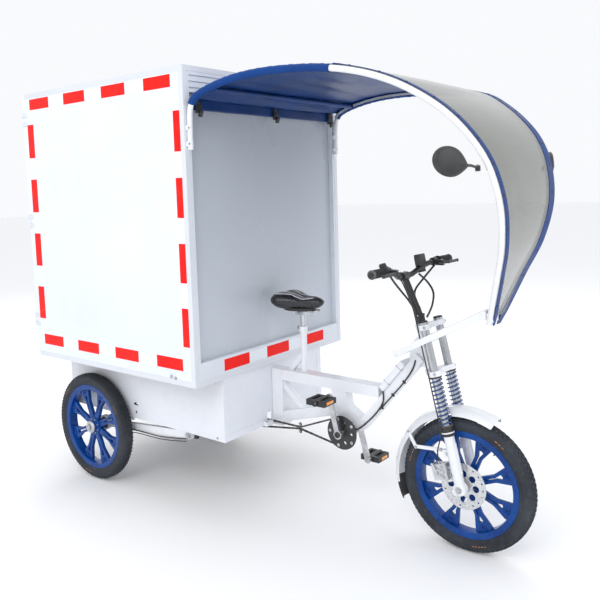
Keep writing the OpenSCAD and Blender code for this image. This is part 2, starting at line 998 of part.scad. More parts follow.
module cast_wheel(hub_w, bore) {
    rotate([90, 0, 0])
        difference() {
            union() {
                rotate_extrude($fn = 128)
                    polygon([[186, -22], [rim_r - 4, -24], [rim_r, -24],
                             [rim_r, -20], [rim_r - 8, -16],
                             [rim_r - 8, 16], [rim_r, 20], [rim_r, 24],
                             [rim_r - 4, 24], [186, 22]]);
                for (i = [0 : spoke_count - 1])
                    rotate(360 / spoke_count * (i + 0.5))
                        translate([0, 0, -9])
                            linear_extrude(18)
                                spoke();
                cylinder(h = 2 * hub_w, r = 27, center = true);
                cylinder(h = 26, r = 44, center = true);
            }
            cylinder(h = 200, r = bore, center = true);
        }
}

module front_wheel_place() {
    translate([front_axle_x, 0, tyre_r])
        children();
}

module front_tyre() {
    color([0.15, 0.15, 0.16])
    front_wheel_place()
        tyre_ring();
}

module front_rim() {
    color("mediumblue")
    front_wheel_place()
        cast_wheel(hub_half - 12, axle_r + running);
}

module brake_rotor() {
    color("silver")
    front_wheel_place()
        rotate([90, 0, 0])
            translate([0, 0, hub_half - 12])
                difference() {
                    cylinder(h = 2.4, r = disc_r);
                    translate([0, 0, -1])
                        cylinder(h = 5, r = 14);
                    for (i = [0 : 7])
                        rotate(45 * i)
                            translate([50, 0, -1])
                                cylinder(h = 5, r = 13);
                    for (i = [0 : 17])
                        rotate(20 * i)
                            translate([78, 0, -1])
                                cylinder(h = 5, r = 3.5);
                }
}

module rear_tyre(s) {
    color([0.15, 0.15, 0.16])
    translate([rear_axle_x, s * rear_wheel_y, tyre_r])
        tyre_ring();
}

module rear_rim(s) {
    color("mediumblue")
    translate([rear_axle_x, s * rear_wheel_y, tyre_r])
        cast_wheel(30, 12);
}

module half_shaft(s) {
    color("silver")
    mirror([0, s > 0 ? 1 : 0, 0])
        union() {
            y_cyl(rear_axle_x, tyre_r, 12, -rear_wheel_y - 32, -124);
            y_cyl(rear_axle_x, tyre_r, 17, -rear_wheel_y - 46,
                  -rear_wheel_y - 30.2);
        }
}

module rear_tyre_right() { rear_tyre(-1); }
module rear_tyre_left() { rear_tyre(1); }
module rear_rim_right() { rear_rim(-1); }
module rear_rim_left() { rear_rim(1); }
module half_shaft_right() { half_shaft(-1); }
module half_shaft_left() { half_shaft(1); }

// ------------------------------------------------------------------ fork

// outline of a fork crown seen along the legs
module crown_outline() {
    difference() {
        union() {
            for (s = [-1, 1])
                translate([0, s * leg_y])
                    circle(r = 25);
            translate([-steer_back, 0])
                circle(r = 27);
            polygon([[-steer_back - 20, -20], [-steer_back - 20, 20],
                     [-10, leg_y + 14], [14, leg_y - 4], [8, 0],
                     [14, -leg_y + 4], [-10, -leg_y - 14]]);
        }
        for (s = [-1, 1])
            translate([0, s * leg_y])
                circle(r = stanchion_r);
    }
}

module fork_crowns() {
    color("gainsboro")
    fork_axes()
        union() {
            for (c = [lower_crown, upper_crown])
                translate([0, 0, c[0]])
                    linear_extrude(c[1] - c[0])
                        crown_outline();
            translate([-steer_back, 0, lower_crown[0]])
                cylinder(h = upper_crown[1] - lower_crown[0], r = steerer_r);
        }
}

module stanchions() {
    color("silver")
    fork_axes()
        for (s = [-1, 1])
            translate([0, s * leg_y, 0])
                difference() {
                    union() {
                        translate([0, 0, 100])
                            cylinder(h = 536, r = stanchion_r);
                        translate([0, 0, upper_crown[1]])
                            cylinder(h = 8, r = stanchion_r + 3);
                    }
                    translate([0, 0, 99])
                        cylinder(h = 520, r = stanchion_r - 3);
                }
}

module fork_sliders() {
    color("white")
    fork_axes()
        union() {
            for (s = [-1, 1])
                difference() {
                    union() {
                        translate([0, s * leg_y, -18])
                            cylinder(h = slider_top + 18, r = slider_r);
                        translate([0, s * leg_y, slider_top])
                            cylinder(h = seat_ring_top - slider_top, r = 24);
                        y_cyl(0, 0, 25, s * leg_y - 12, s * leg_y + 12);
                        translate([-36, s * leg_y - 7, 118])
                            cube([36, 14, 34]);
                    }
                    translate([0, s * leg_y, 40])
                        cylinder(h = 300, r = stanchion_r + running);
                }
            y_cyl(0, 0, axle_r, -leg_y - 22, leg_y + 22);
            y_cyl(0, 0, 13, leg_y + 11, leg_y + 19);
            y_cyl(0, 0, 13, -leg_y - 19, -leg_y - 11);
            y_cyl(0, 0, 11, hub_half - 11, leg_y - 11);
            y_cyl(0, 0, 11, -leg_y + 11, -hub_half + 9);
        }
}

module fork_springs() {
    color("royalblue")
    fork_axes()
        for (s = [-1, 1])
            translate([0, s * leg_y, 0])
                coil(21.3, 2.9, seat_ring_top + 0.4, lower_crown[0] - 0.4, 12);
}

fender_r = 291;

module front_fender() {
    color("white")
    front_wheel_place()
        union() {
            difference() {
                rotate([90, 0, 0])
                    rotate_extrude($fn = 128)
                        difference() {
                            translate([fender_r - 41, 0])
                                circle(r = 54);
                            translate([fender_r - 41, 0])
                                circle(r = 51.5);
                            translate([fender_r - 100, -60])
                                square([82, 120]);
                        }
                // kept from low behind the tyre to ahead of its top
                rotate([90, 0, 0])
                    linear_extrude(140, center = true)
                        polygon([[0, 0], [182, 400], [500, 400],
                                 [500, -400], [-400, -400],
                                 [-400, -66]]);
                fender_gaps();
            }
            fender_stays();
        }
}

// room for both fork legs through the fender's edges
module fender_gaps() {
    rotate([0, -rake, 0])
        for (s = [-1, 1])
            translate([0, s * leg_y, 200])
                cylinder(h = 200, r = 27);
}

// flat straps from the fender to the lugs behind the fork legs
module fender_stays() {
    for (s = [-1, 1]) {
        difference() {
            union() {
                bar([-226, s * 50, 176], [-190, s * 52, 118], 4, 14);
                bar([-190, s * 52, 122], [-71.8, s * 60, 135], 4, 14);
            }
            rotate([0, -rake, 0])
                translate([0, s * leg_y, 0])
                    cylinder(h = 300, r = 26);
        }
    }
}

module brake_caliper() {
    y = -hub_half + 10.8;
    color("silver")
    fork_axes()
        difference() {
            translate([-106, y - 20, 30])
                cube([60, 38, 62]);
            translate([-97, y - 2.2, -20])
                cube([80, 4.4, 140]);
            y_cyl(0, 0, 55, -100, 0);
        }
}

// -------------------------------------------------------------- handlebar

bar_clamp = [front_axle_x - 262, 0, 1052];

module stem() {
    color("black")
    difference() {
        union() {
            rod(ahead(-188, 886), bar_clamp, 13);
            y_cyl(bar_clamp.x, bar_clamp.z, 17, -22, 22);
            fork_axes()
                translate([-steer_back, 0, upper_crown[1]])
                    cylinder(h = 30, r = 18);
        }
        y_cyl(bar_clamp.x, bar_clamp.z, bar_r, -30, 30);
        fork_axes()
            translate([-steer_back - 60, -60, upper_crown[1] - 60])
                cube([120, 120, 60]);
    }
}

// point along the handlebar, on the right (side -1) or left (1)
function bar_at(t, side) =
    let (p = spline(bar_path, t))
    [front_axle_x + p.x, side * p.y, p.z];

// point on the straight end of the bar that carries the grip, at a given
// distance from the centre line
grip_in = [front_axle_x + bar_path[4].x, 208, bar_path[4].z];
grip_out = [front_axle_x + bar_tip.x, bar_tip.y, bar_tip.z];
function grip_at(y) =
    grip_in + (grip_out - grip_in) * (y - grip_in.y) / (grip_out.y - grip_in.y);

module handlebar() {
    n = 4 * (len(bar_path) - 1);
    color("black")
    union() {
        y_cyl(bar_clamp.x, bar_clamp.z, bar_r, -30, 30);
        for (side = [-1, 1])
            sweep([for (i = [0 : n]) bar_at(i / 4, side)], bar_r, 16);
        both_sides()
            rod(grip_at(207), grip_out, bar_r);
    }
}

// a sleeve on the bar end between two distances from the centre line
module grip_sleeve(y0, y1, r, bore) {
    along(grip_at(y0), grip_at(y1))
        rotate([0, 90, 0])
            difference() {
                cylinder(h = seg_len(grip_at(y0), grip_at(y1)), r = r);
                translate([0, 0, -1])
                    cylinder(h = 300, r = bore);
            }
}

module grip_left() {
    color("black")
    union() {
        grip_sleeve(216, 317, grip_r, bar_r);
        grip_sleeve(216, 222, grip_r + 4, bar_r);
    }
}

module throttle_grip() {
    color("black")
    mirror([0, 1, 0])
        union() {
            grip_sleeve(217, 317, grip_r, bar_r + running);
            grip_sleeve(217, 223, grip_r + 4, bar_r + running);
        }
}

// pivot of each brake lever, ahead of the bar
lever_at = grip_at(190) + [34, 0, -4];
lever_pin_r = 4;

module bar_controls() {
    // the lever's clamp follows the bar where it is still bending
    near = bar_at(3.25, 1);
    far = bar_at(3.82, 1);
    color("black")
    union() {
        both_sides()
            difference() {
                union() {
                    rod(near, far, 16);
                    translate(lever_at + [-24, -9, -11])
                        cube([13, 18, 22]);
                    for (z = [-11, 7])
                        translate(lever_at + [-12, -9, z])
                            cube([21, 18, 4]);
                    translate(lever_at + [0, 0, -11])
                        cylinder(h = 22, r = lever_pin_r);
                }
                rod(2 * near - far, 2 * far - near, bar_r + 0.6);
            }
        // switch block beside the throttle
        mirror([0, 1, 0])
            grip_sleeve(204.5, 216, 19, bar_r + 0.3);
        // battery gauge and speed readout
        difference() {
            translate(bar_at(2, 1) + [-12, -21, -26])
                rotate([0, -12, 0])
                    cube([20, 42, 62]);
            for (i = [0 : 7])
                rod(bar_at(1 + i / 4, 1), bar_at(1.3 + i / 4, 1), bar_r + 0.4);
            translate(bar_at(2, 1) + [-4, -14, 31])
                cube([2, 28, 2]);
        }
    }
}

module brake_lever() {
    difference() {
        union() {
            translate(lever_at + [0, 0, -6.5])
                cylinder(h = 13, r = 9);
            bar(lever_at, lever_at + [14, 34, 0], 8, 11);
            bar(lever_at + [14, 34, 0], lever_at + [16, 112, 0], 8, 11);
            translate(lever_at + [14, 34, -6])
                cylinder(h = 12, r = 5);
            translate(lever_at + [16, 112, -6])
                cylinder(h = 12, r = 6);
        }
        translate(lever_at + [0, 0, -20])
            cylinder(h = 40, r = lever_pin_r + running);
    }
}

module brake_lever_right() {
    color("black")
    mirror([0, 1, 0])
        brake_lever();
}

module brake_lever_left() {
    color("black")
    brake_lever();
}

module brake_cable() {
    n = 4 * (len(cable_path) - 1);
    color("black")
    sweep([
        for (i = [0 : n])
            let (p = spline(cable_path, i / 4))
            [front_axle_x + p.x, p.y, p.z]
    ], 2.5, 8);
}

// ----------------------------------------------------- cranks and pedals

arm_right_y = -84;
arm_left_y = 66;
crank_eye_right = [bb_x + crank_len * cos(crank_angle), 0,
                   bb_z + crank_len * sin(crank_angle)];
crank_eye_left = 2 * [bb_x, 0, bb_z] - crank_eye_right;
pedal_pin_r = 6;

module crank_arm(eye, y0) {
    bar([bb_x, y0 + 7, bb_z], eye + [0, y0 + 7, 0], 12, 24);
    y_cyl(bb_x, bb_z, 19, y0, y0 + 14);
    y_cyl(eye.x, eye.z, 15, y0, y0 + 14);
}

module crank_arms() {
    color("gainsboro")
    union() {
        y_cyl(bb_x, bb_z, 12, arm_right_y - 14, arm_left_y + 14);
        crank_arm(crank_eye_right, arm_right_y - 14);
        crank_arm(crank_eye_left, arm_left_y);
        y_cyl(crank_eye_right.x, crank_eye_right.z, pedal_pin_r,
              arm_right_y - 108, arm_right_y);
        y_cyl(crank_eye_left.x, crank_eye_left.z, pedal_pin_r,
              arm_left_y, arm_left_y + 108);
    }
}

module chainring() {
    color("dimgray")
    difference() {
        union() {
            sprocket(bb_x, bb_z, ring_r, chain_y, 12);
            // guard outside the chain, and the boss that joins them
            y_cyl(bb_x, bb_z, ring_r + 8, chain_y - 8, chain_y - 5.5);
            y_cyl(bb_x, bb_z, 34, chain_y - 8, chain_y + 4);
        }
        y_cyl(bb_x, bb_z, 12, -120, 120);
        for (i = [0 : 4])
            y_cyl(bb_x + 45 * cos(72 * i), bb_z + 45 * sin(72 * i), 8,
                  -120, 120);
    }
}

module pedal(eye, y0, y1) {
    color("dimgray")
    difference() {
        union() {
            translate([eye.x - 46, y0, eye.z - 12])
                cube([92, y1 - y0, 24]);
            y_cyl(eye.x, eye.z, 13, y0 - 6, y1);
        }
        for (dx = [-32, 12])
            translate([eye.x + dx, y0 + 14, eye.z - 20])
                cube([20, y1 - y0 - 28, 40]);
        y_cyl(eye.x, eye.z, pedal_pin_r + running, y0 - 10, y1 + 10);
    }
}

module pedal_right() {
    pedal(crank_eye_right, arm_right_y - 108, arm_right_y - 22);
}

module pedal_left() {
    mirror([0, 1, 0])
        pedal(crank_eye_left, -arm_left_y - 108, -arm_left_y - 22);
}

// ---------------------------------------------------------------- saddle

module seatpost() {
    color("silver")
    union() {
        translate([seat_x, 0, 690])
            cylinder(h = saddle_top - 96 - 690, r = seatpost_r);
        translate([seat_x - 22, -26, saddle_top - 100])
            cube([44, 52, 14]);
        for (s = [-1, 1])
            rod([seat_x - 90, s * 22, saddle_top - 82],
                [seat_x + 80, s * 22, saddle_top - 82], 4.5);
    }
}

module saddle() {
    color("black")
    difference() {
        hull() {
            for (s = [-1, 1]) {
                translate([seat_x - 94, s * 52, saddle_top - 52])
                    sphere(r = 46, $fn = 32);
                translate([seat_x - 20, s * 30, saddle_top - 46])
                    sphere(r = 36, $fn = 32);
            }
            translate([seat_x + 92, 0, saddle_top - 48])
                sphere(r = 28, $fn = 32);
        }
        translate([seat_x - 200, -120, saddle_top - 197])
            cube([400, 240, 120]);
    }
}

main_beam();
rear_frame();
seat_tube();
canopy_boom();
battery_case();
chassis_casing();
chassis_rails();
cargo_floor();
cargo_roof();
cargo_side_right();
cargo_side_left();
cargo_front_panel();
cargo_frame();
reflective_tape();
canopy_frame();
canopy_fabric();
windscreen();
pedal_chain();
frame_bolts();
door_hinges();
rear_door_right();
rear_door_left();
door_handle();
swing_arms();
axle_housing();
rear_springs();
axle_chain();
axle_sprocket();
jackshaft();
fork_crowns();
stanchions();
stem();
handlebar();
grip_left();
bar_controls();
throttle_grip();
brake_lever_right();
brake_lever_left();
brake_cable();
fork_sliders();
fork_springs();
front_fender();
brake_caliper();
front_rim();
front_tyre();
brake_rotor();
rear_rim_right();
rear_rim_left();
rear_tyre_right();
rear_tyre_left();
half_shaft_right();
half_shaft_left();
crank_arms();
chainring();
pedal_right();
pedal_left();
seatpost();
saddle();
mirror_right();
mirror_left();
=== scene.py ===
"""Electric cargo tricycle: the looks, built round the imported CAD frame.

Everything is in metres in the CAD frame: +X forward, +Y to the rider's left,
+Z up. Each section below is one piece, or a group of like pieces, in the
order in which the machine goes together.
"""
import json
import math
import random

import bmesh
import bpy
from mathutils import Matrix, Vector, bvhtree


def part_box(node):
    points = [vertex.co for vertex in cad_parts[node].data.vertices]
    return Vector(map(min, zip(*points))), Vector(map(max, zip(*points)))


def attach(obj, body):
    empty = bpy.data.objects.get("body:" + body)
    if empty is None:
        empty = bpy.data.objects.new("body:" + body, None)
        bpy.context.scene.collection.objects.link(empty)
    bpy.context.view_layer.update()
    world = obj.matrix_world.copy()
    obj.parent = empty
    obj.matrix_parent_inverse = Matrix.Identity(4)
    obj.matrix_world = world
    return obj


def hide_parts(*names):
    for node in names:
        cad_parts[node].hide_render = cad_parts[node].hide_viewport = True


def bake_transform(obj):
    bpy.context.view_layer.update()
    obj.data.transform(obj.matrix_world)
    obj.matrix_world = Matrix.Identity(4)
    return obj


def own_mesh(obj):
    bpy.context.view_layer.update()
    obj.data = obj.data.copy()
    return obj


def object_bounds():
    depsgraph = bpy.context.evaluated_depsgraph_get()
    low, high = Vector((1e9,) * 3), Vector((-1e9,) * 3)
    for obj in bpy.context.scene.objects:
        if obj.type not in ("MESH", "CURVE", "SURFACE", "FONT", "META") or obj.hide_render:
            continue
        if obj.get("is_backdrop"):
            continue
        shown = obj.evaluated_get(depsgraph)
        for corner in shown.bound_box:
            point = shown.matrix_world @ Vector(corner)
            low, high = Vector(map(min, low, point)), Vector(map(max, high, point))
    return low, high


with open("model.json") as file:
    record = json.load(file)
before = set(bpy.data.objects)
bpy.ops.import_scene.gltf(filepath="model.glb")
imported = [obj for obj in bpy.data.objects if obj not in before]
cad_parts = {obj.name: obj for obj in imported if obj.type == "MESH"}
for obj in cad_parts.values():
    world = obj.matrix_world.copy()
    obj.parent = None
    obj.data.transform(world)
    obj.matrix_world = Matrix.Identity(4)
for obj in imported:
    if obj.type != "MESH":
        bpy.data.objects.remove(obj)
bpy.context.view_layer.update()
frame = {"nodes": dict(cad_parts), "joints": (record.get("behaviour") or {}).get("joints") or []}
joints = {joint["name"]: joint for joint in frame["joints"]}
random.seed(7)


# --------------------------------------------------------------- the camera
# A 42 mm lens on a stand at a grown-up's eye height, ahead of the machine
# and to its right, leaning a little to one side.

lens_azimuth, lens_elevation, lens_roll = 38.987, 5.856, -1.816
lens_place = Vector((2.005, -2.443, 1.418))


def lens_axes(azimuth, elevation, roll):
    a, e, r = (math.radians(v) for v in (azimuth, elevation, roll))
    back = Vector((math.sin(a) * math.cos(e), -math.cos(a) * math.cos(e), math.sin(e)))
    right = Vector((math.cos(a), math.sin(a), 0))
    up = back.cross(right)
    turned_right = math.cos(r) * right + math.sin(r) * up
    turned_up = math.cos(r) * up - math.sin(r) * right
    return Matrix((turned_right, turned_up, back)).transposed()


camera_data = bpy.data.cameras.new("camera")
camera_data.lens = 41.96
camera_data.sensor_width = 36
camera_data.shift_x = 0.0309
camera_data.shift_y = -0.0684
camera = bpy.data.objects.new("camera", camera_data)
camera.matrix_world = Matrix.Translation(lens_place) @ lens_axes(
    lens_azimuth, lens_elevation, lens_roll
).to_4x4()
bpy.context.collection.objects.link(camera)
bpy.context.scene.camera = camera


# ------------------------------------------------------------ brake cable
# A 5 mm sheathed cable from the right lever, down past the head inside the
# canopy's arms, and down the fork to the caliper.

axle_low, axle_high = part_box("front_tyre")
front_axle = (axle_low + axle_high) / 2
fork_up = Vector(joints["fork_slide"]["axis"])
fork_ahead = Vector((fork_up.z, 0, -fork_up.x))


def unit(vector):
    return vector / vector.length


def smooth_path(points, steps):
    """Points on one smooth curve through the given points."""
    ends = [points[0], *points, points[-1]]
    path = []
    for i in range(len(points) - 1):
        a, b, c, d = (Vector(p) for p in ends[i : i + 4])
        for k in range(steps):
            u = k / steps
            path.append(
                0.5 * (2 * b + (c - a) * u + (2 * a - 5 * b + 4 * c - d) * u * u
                       + (3 * b - a - 3 * c + d) * u ** 3)
            )
    return path + [Vector(points[-1])]


def path_length(path):
    return sum((b - a).length for a, b in zip(path, path[1:]))


def ring_faces(rings, sides, start=0, closed=False):
    """Quads that join rings of corners, each ring to the next one."""
    return [(start + i * sides + k, start + i * sides + (k + 1) % sides,
             start + j * sides + (k + 1) % sides, start + j * sides + k)
            for i, j in ((r, (r + 1) % rings) for r in range(rings if closed else rings - 1))
            for k in range(sides)]


def tube_shell(path, radius, sides=12, closed=False):
    """Corners and faces of a round tube; radius is a number or one per point."""
    count = len(path)
    radii = radius if isinstance(radius, list) else [radius] * count
    corners = []
    across = None
    for i, point in enumerate(path):
        after = path[(i + 1) % count] if closed else path[min(i + 1, count - 1)]
        before = path[i - 1] if closed else path[max(i - 1, 0)]
        along = unit(after - before)
        if across is None:
            across = unit(along.orthogonal())
        across = unit(across - along * across.dot(along))
        over = along.cross(across)
        for k in range(sides):
            turn = math.tau * k / sides
            corners.append(point + radii[i] * (math.cos(turn) * across + math.sin(turn) * over))
    faces = ring_faces(count, sides, closed=closed)
    if not closed:
        faces.append(tuple(range(sides - 1, -1, -1)))
        faces.append(tuple((count - 1) * sides + k for k in range(sides)))
    return corners, faces


def make_piece(name, corners, faces, finish, body=None, slot=None, sharp=40):
    """A mesh piece that rides on a body, with its edges smoothed up to an angle."""
    mesh = bpy.data.meshes.new(name)
    mesh.from_pydata([tuple(c) for c in corners], [], faces)
    piece = bpy.data.objects.new(name, mesh)
    bpy.context.collection.objects.link(piece)
    return dress(piece, finish, body, sharp)


def dress(piece, finish, body=None, sharp=40):
    """Gives a piece its material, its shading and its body."""
    mesh = piece.data
    shell = bmesh.new()
    shell.from_mesh(mesh)
    bmesh.ops.recalc_face_normals(shell, faces=shell.faces)
    for face in shell.faces:
        face.smooth = True
    for edge in shell.edges:
        if len(edge.link_faces) == 2:
            edge.smooth = edge.calc_face_angle(0) < math.radians(sharp)
    shell.to_mesh(mesh)
    shell.free()
    if finish is not None:
        mesh.materials.clear()
        mesh.materials.append(finish.material)
    if body:
        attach(piece, body)
    return piece


class Value:
    """A socket in a material; arithmetic on it adds the Math nodes."""

    def __init__(self, finish, socket):
        self.finish, self.socket = finish, socket

    def math(self, operation, first, second=None):
        return self.finish.node("ShaderNodeMath", {"operation": operation},
                                {0: first, 1: second})

    def __add__(self, other):
        return self.math("ADD", self, other)

    def __radd__(self, other):
        return self.math("ADD", other, self)

    def __sub__(self, other):
        return self.math("SUBTRACT", self, other)

    def __rsub__(self, other):
        return self.math("SUBTRACT", other, self)

    def __mul__(self, other):
        return self.math("MULTIPLY", self, other)

    def __rmul__(self, other):
        return self.math("MULTIPLY", other, self)

    def __truediv__(self, other):
        return self.math("DIVIDE", self, other)

    def __gt__(self, other):
        return self.math("GREATER_THAN", self, other)

    def __lt__(self, other):
        return self.math("LESS_THAN", self, other)


class Finish:
    """One procedural material round one Principled shader."""

    def __init__(self, name):
        self.material = bpy.data.materials.new(name)
        self.material.use_nodes = True
        self.nodes = self.material.node_tree.nodes
        self.links = self.material.node_tree.links
        self.nodes.clear()
        self.shader = self.nodes.new("ShaderNodeBsdfPrincipled")
        self.output = self.nodes.new("ShaderNodeOutputMaterial")
        self.links.new(self.shader.outputs[0], self.output.inputs[0])

    def fill(self, node, inputs):
        for key, value in inputs.items():
            if isinstance(value, Value):
                self.links.new(value.socket, node.inputs[key])
            elif value is not None:
                node.inputs[key].default_value = value

    def node(self, kind, settings=None, inputs=None, output=0):
        """Adds a node of that type, sets it, joins it, and gives one output."""
        node = self.nodes.new(kind)
        for key, value in (settings or {}).items():
            if key == "stops":
                ramp = node.color_ramp.elements
                while len(ramp) > 1:
                    ramp.remove(ramp[-1])
                ramp[0].position, ramp[0].color = value[0][0], value[0][1]
                for place, colour in value[1:]:
                    ramp.new(place).color = colour
            else:
                setattr(node, key, value)
        self.fill(node, inputs or {})
        return Value(self, node.outputs[output])

    def place(self, stretch=(1, 1, 1)):
        """The point on the object, in metres, stretched along each axis."""
        point = self.node("ShaderNodeTexCoord", output=3)
        return self.node("ShaderNodeMapping", inputs={0: point, 3: stretch})

    def axis(self, name):
        point = self.node("ShaderNodeTexCoord", output=3)
        return self.node("ShaderNodeSeparateXYZ", inputs={0: point},
                         output="XYZ".index(name))

    def noise(self, scale, detail=3, stretch=(1, 1, 1), rough=0.5):
        return self.node("ShaderNodeTexNoise",
                         inputs={"Vector": self.place(stretch), "Scale": scale,
                                 "Detail": detail, "Roughness": rough})

    def ramp(self, value, *stops):
        stops = [(at, (g, g, g, 1) if isinstance(g, (int, float)) else (*g, 1))
                 for at, g in stops]
        return self.node("ShaderNodeValToRGB", {"stops": stops}, {0: value})

    def mix(self, factor, first, second):
        """First colour where the factor is 0, second where it is 1."""
        first = (*first, 1) if isinstance(first, tuple) else first
        second = (*second, 1) if isinstance(second, tuple) else second
        return self.node("ShaderNodeMix", {"data_type": "RGBA"},
                         {0: factor, 6: first, 7: second}, output=2)

    def bump(self, height, depth, strength=1.0, under=None):
        return self.node("ShaderNodeBump",
                         inputs={"Strength": strength, "Distance": depth,
                                 "Height": height, "Normal": under})

    def surface(self, **inputs):
        """Sets the shader's sockets, named in lower case with underscores."""
        self.fill(self.shader, {key.replace("_", " ").title().replace("Ior", "IOR"): value
                                for key, value in inputs.items()})
        return self


def moulded_black(name, tone=0.022, rough=0.5, grain=900):
    """Moulded black plastic with a fine spark-eroded grain."""
    made = Finish(name)
    speck = made.noise(grain, 2)
    cloud = made.noise(14, 4)
    made.surface(
        base_color=made.mix(made.ramp(cloud, (0.35, 0.0), (0.7, 1.0)),
                            (tone, tone, tone * 1.05),
                            (tone * 2.2, tone * 2.2, tone * 2.3)),
        roughness=made.ramp(cloud, (0.3, rough - 0.08), (0.75, rough + 0.12)),
        normal=made.bump(speck, 0.0003, 0.5),
        specular_ior_level=0.45,
    )
    return made


black_sheath = moulded_black("cable_sheath", 0.018, 0.42, 300)
cable_points = [
    (-0.2085, -0.1807, 1.090), (-0.207, -0.150, 1.078), (-0.196, -0.120, 1.030),
    (-0.178, -0.092, 0.950), (-0.163, -0.087, 0.883), (-0.140, -0.087, 0.786),
    (-0.116, -0.087, 0.689), (-0.093, -0.087, 0.591), (-0.070, -0.087, 0.494),
    (-0.074, -0.084, 0.442), (-0.0895, -0.070, 0.397), (-0.0965, -0.052, 0.359),
    (-0.0955, -0.046, 0.3364),
]
cable_path = smooth_path(
    [Vector((front_axle.x + x, y, z)) for x, y, z in cable_points], 8
)
cable = make_piece("brake_cable_sheath", *tube_shell(cable_path, 0.0025, 12),
                   black_sheath, slot="black_plastic")
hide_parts("brake_cable")
path_length(cable_path)
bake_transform(cable)


# ------------------------------------------------------- wiring at the bar
# Three black looms leave the bar's controls, gather behind the stem and go
# down to the head. They turn with the bar, and are tied to the stem.

loom_finish = moulded_black("loom_sleeve", 0.02, 0.5, 500)
loom_routes = {
    "loom_right": [(-0.222, -0.183, 1.079), (-0.236, -0.120, 1.040), (-0.242, -0.060, 1.000),
                   (-0.226, -0.030, 0.960), (-0.205, -0.026, 0.925), (-0.197, -0.022, 0.893)],
    "loom_left": [(-0.222, 0.183, 1.079), (-0.240, 0.120, 1.030), (-0.246, 0.060, 0.990),
                  (-0.230, 0.032, 0.955), (-0.208, 0.026, 0.923), (-0.199, 0.022, 0.893)],
    "loom_display": [(-0.246, 0.092, 1.052), (-0.205, 0.088, 1.020), (-0.172, 0.070, 0.985),
                     (-0.160, 0.040, 0.945), (-0.166, 0.022, 0.910), (-0.172, 0.012, 0.893)],
}
for loom_name, route in loom_routes.items():
    path = smooth_path([Vector((front_axle.x + x, y, z)) for x, y, z in route], 8)
    loom = make_piece(loom_name, *tube_shell(path, 0.0042, 12), loom_finish,
                      "steering", "black_plastic")
    path_length(path)


# ----------------------------------------------------------- studio and floor
# A plain pale floor that runs to the backdrop, with wide soft lights above
# and to both sides, as for a catalogue picture.

floor_finish = Finish("studio_floor")
floor_cloud = floor_finish.noise(0.6, 2)
floor_finish.surface(
    base_color=floor_finish.mix(floor_cloud, (0.93, 0.935, 0.95), (0.96, 0.96, 0.965)),
    roughness=0.75,
    specular_ior_level=0.2,
)
floor = make_piece("studio_floor",
                   [(-40, -40, 0), (40, -40, 0), (40, 40, 0), (-40, 40, 0)],
                   [(0, 1, 2, 3)], floor_finish)
floor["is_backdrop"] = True

sky = bpy.data.worlds.new("studio")
sky.use_nodes = True
sky.node_tree.nodes["Background"].inputs[0].default_value = (0.96, 0.975, 1.0, 1)
sky.node_tree.nodes["Background"].inputs[1].default_value = 0.98
bpy.context.scene.world = sky
bpy.context.scene.view_settings.view_transform = "Standard"


def soft_light(name, place, aim, size, power, colour=(1, 1, 1)):
    lamp = bpy.data.lights.new(name, "AREA")
    lamp.shape = "RECTANGLE"
    lamp.size, lamp.size_y = size
    lamp.energy = power
    lamp.color = colour
    stand = bpy.data.objects.new(name, lamp)
    stand.location = place
    stand.rotation_euler = (Vector(aim) - Vector(place)).to_track_quat("-Z", "Y").to_euler()
    bpy.context.collection.objects.link(stand)


soft_light("key", (1.5, -5.0, 4.2), (-0.3, 0, 0.9), (4.0, 3.0), 110)
soft_light("front_fill", (5.5, 0.5, 3.0), (0.2, 0, 0.9), (3.0, 3.0), 45, (0.95, 0.97, 1.0))
soft_light("overhead", (-0.5, 0.5, 5.5), (0, 0, 0.5), (5.0, 4.0), 45)
soft_light("back_edge", (-4.5, 4.5, 3.2), (-0.3, 0, 1.0), (3.0, 2.5), 60)


# ------------------------------------------------------------ welded frame
# Box-section steel tubes, welded and sprayed gloss white: the beam, down
# tube and pedal-bracket plate, the rear post, the seat tube and the arms.


def gloss_paint(name, colour, rough=0.3, dirt=0.1, coat=0.35, low=0.15):
    """Sprayed paint: faint orange peel, soft colour drift, dust low down."""
    made = Finish(name)
    drift = made.noise(2.2, 4)
    peel = made.noise(420, 2)
    dust = made.ramp(made.noise(26, 6), (0.45, 0.0), (0.8, 1.0))
    height = made.axis("Z")
    lowness = made.ramp(height, (low, 1.0), (low + 0.55, 0.15))
    shade = tuple(c * 0.93 for c in colour)
    dusty = tuple(c * 0.72 + f for c, f in zip(colour, (0.055, 0.05, 0.042)))
    clean = made.mix(made.ramp(drift, (0.3, 0.0), (0.7, 1.0)), shade, colour)
    made.surface(
        base_color=made.mix(dust * lowness * dirt, clean, dusty),
        roughness=made.ramp(dust * 0.6 + drift * 0.4, (0.2, rough), (0.9, rough + 0.18)),
        coat_weight=coat,
        coat_roughness=0.12,
        normal=made.bump(peel, 0.0004, 0.12),
    )
    return made


frame_paint = gloss_paint("white_frame_paint", (0.80, 0.82, 0.86), dirt=0.5)


def coat_node(node, finish):
    """Paints a CAD part."""
    mesh = frame["nodes"][node].data
    mesh.materials.clear()
    mesh.materials.append(finish.material)


for node in ("main_beam", "rear_frame", "seat_tube", "canopy_boom", "fork_crowns"):
    coat_node(node, frame_paint)
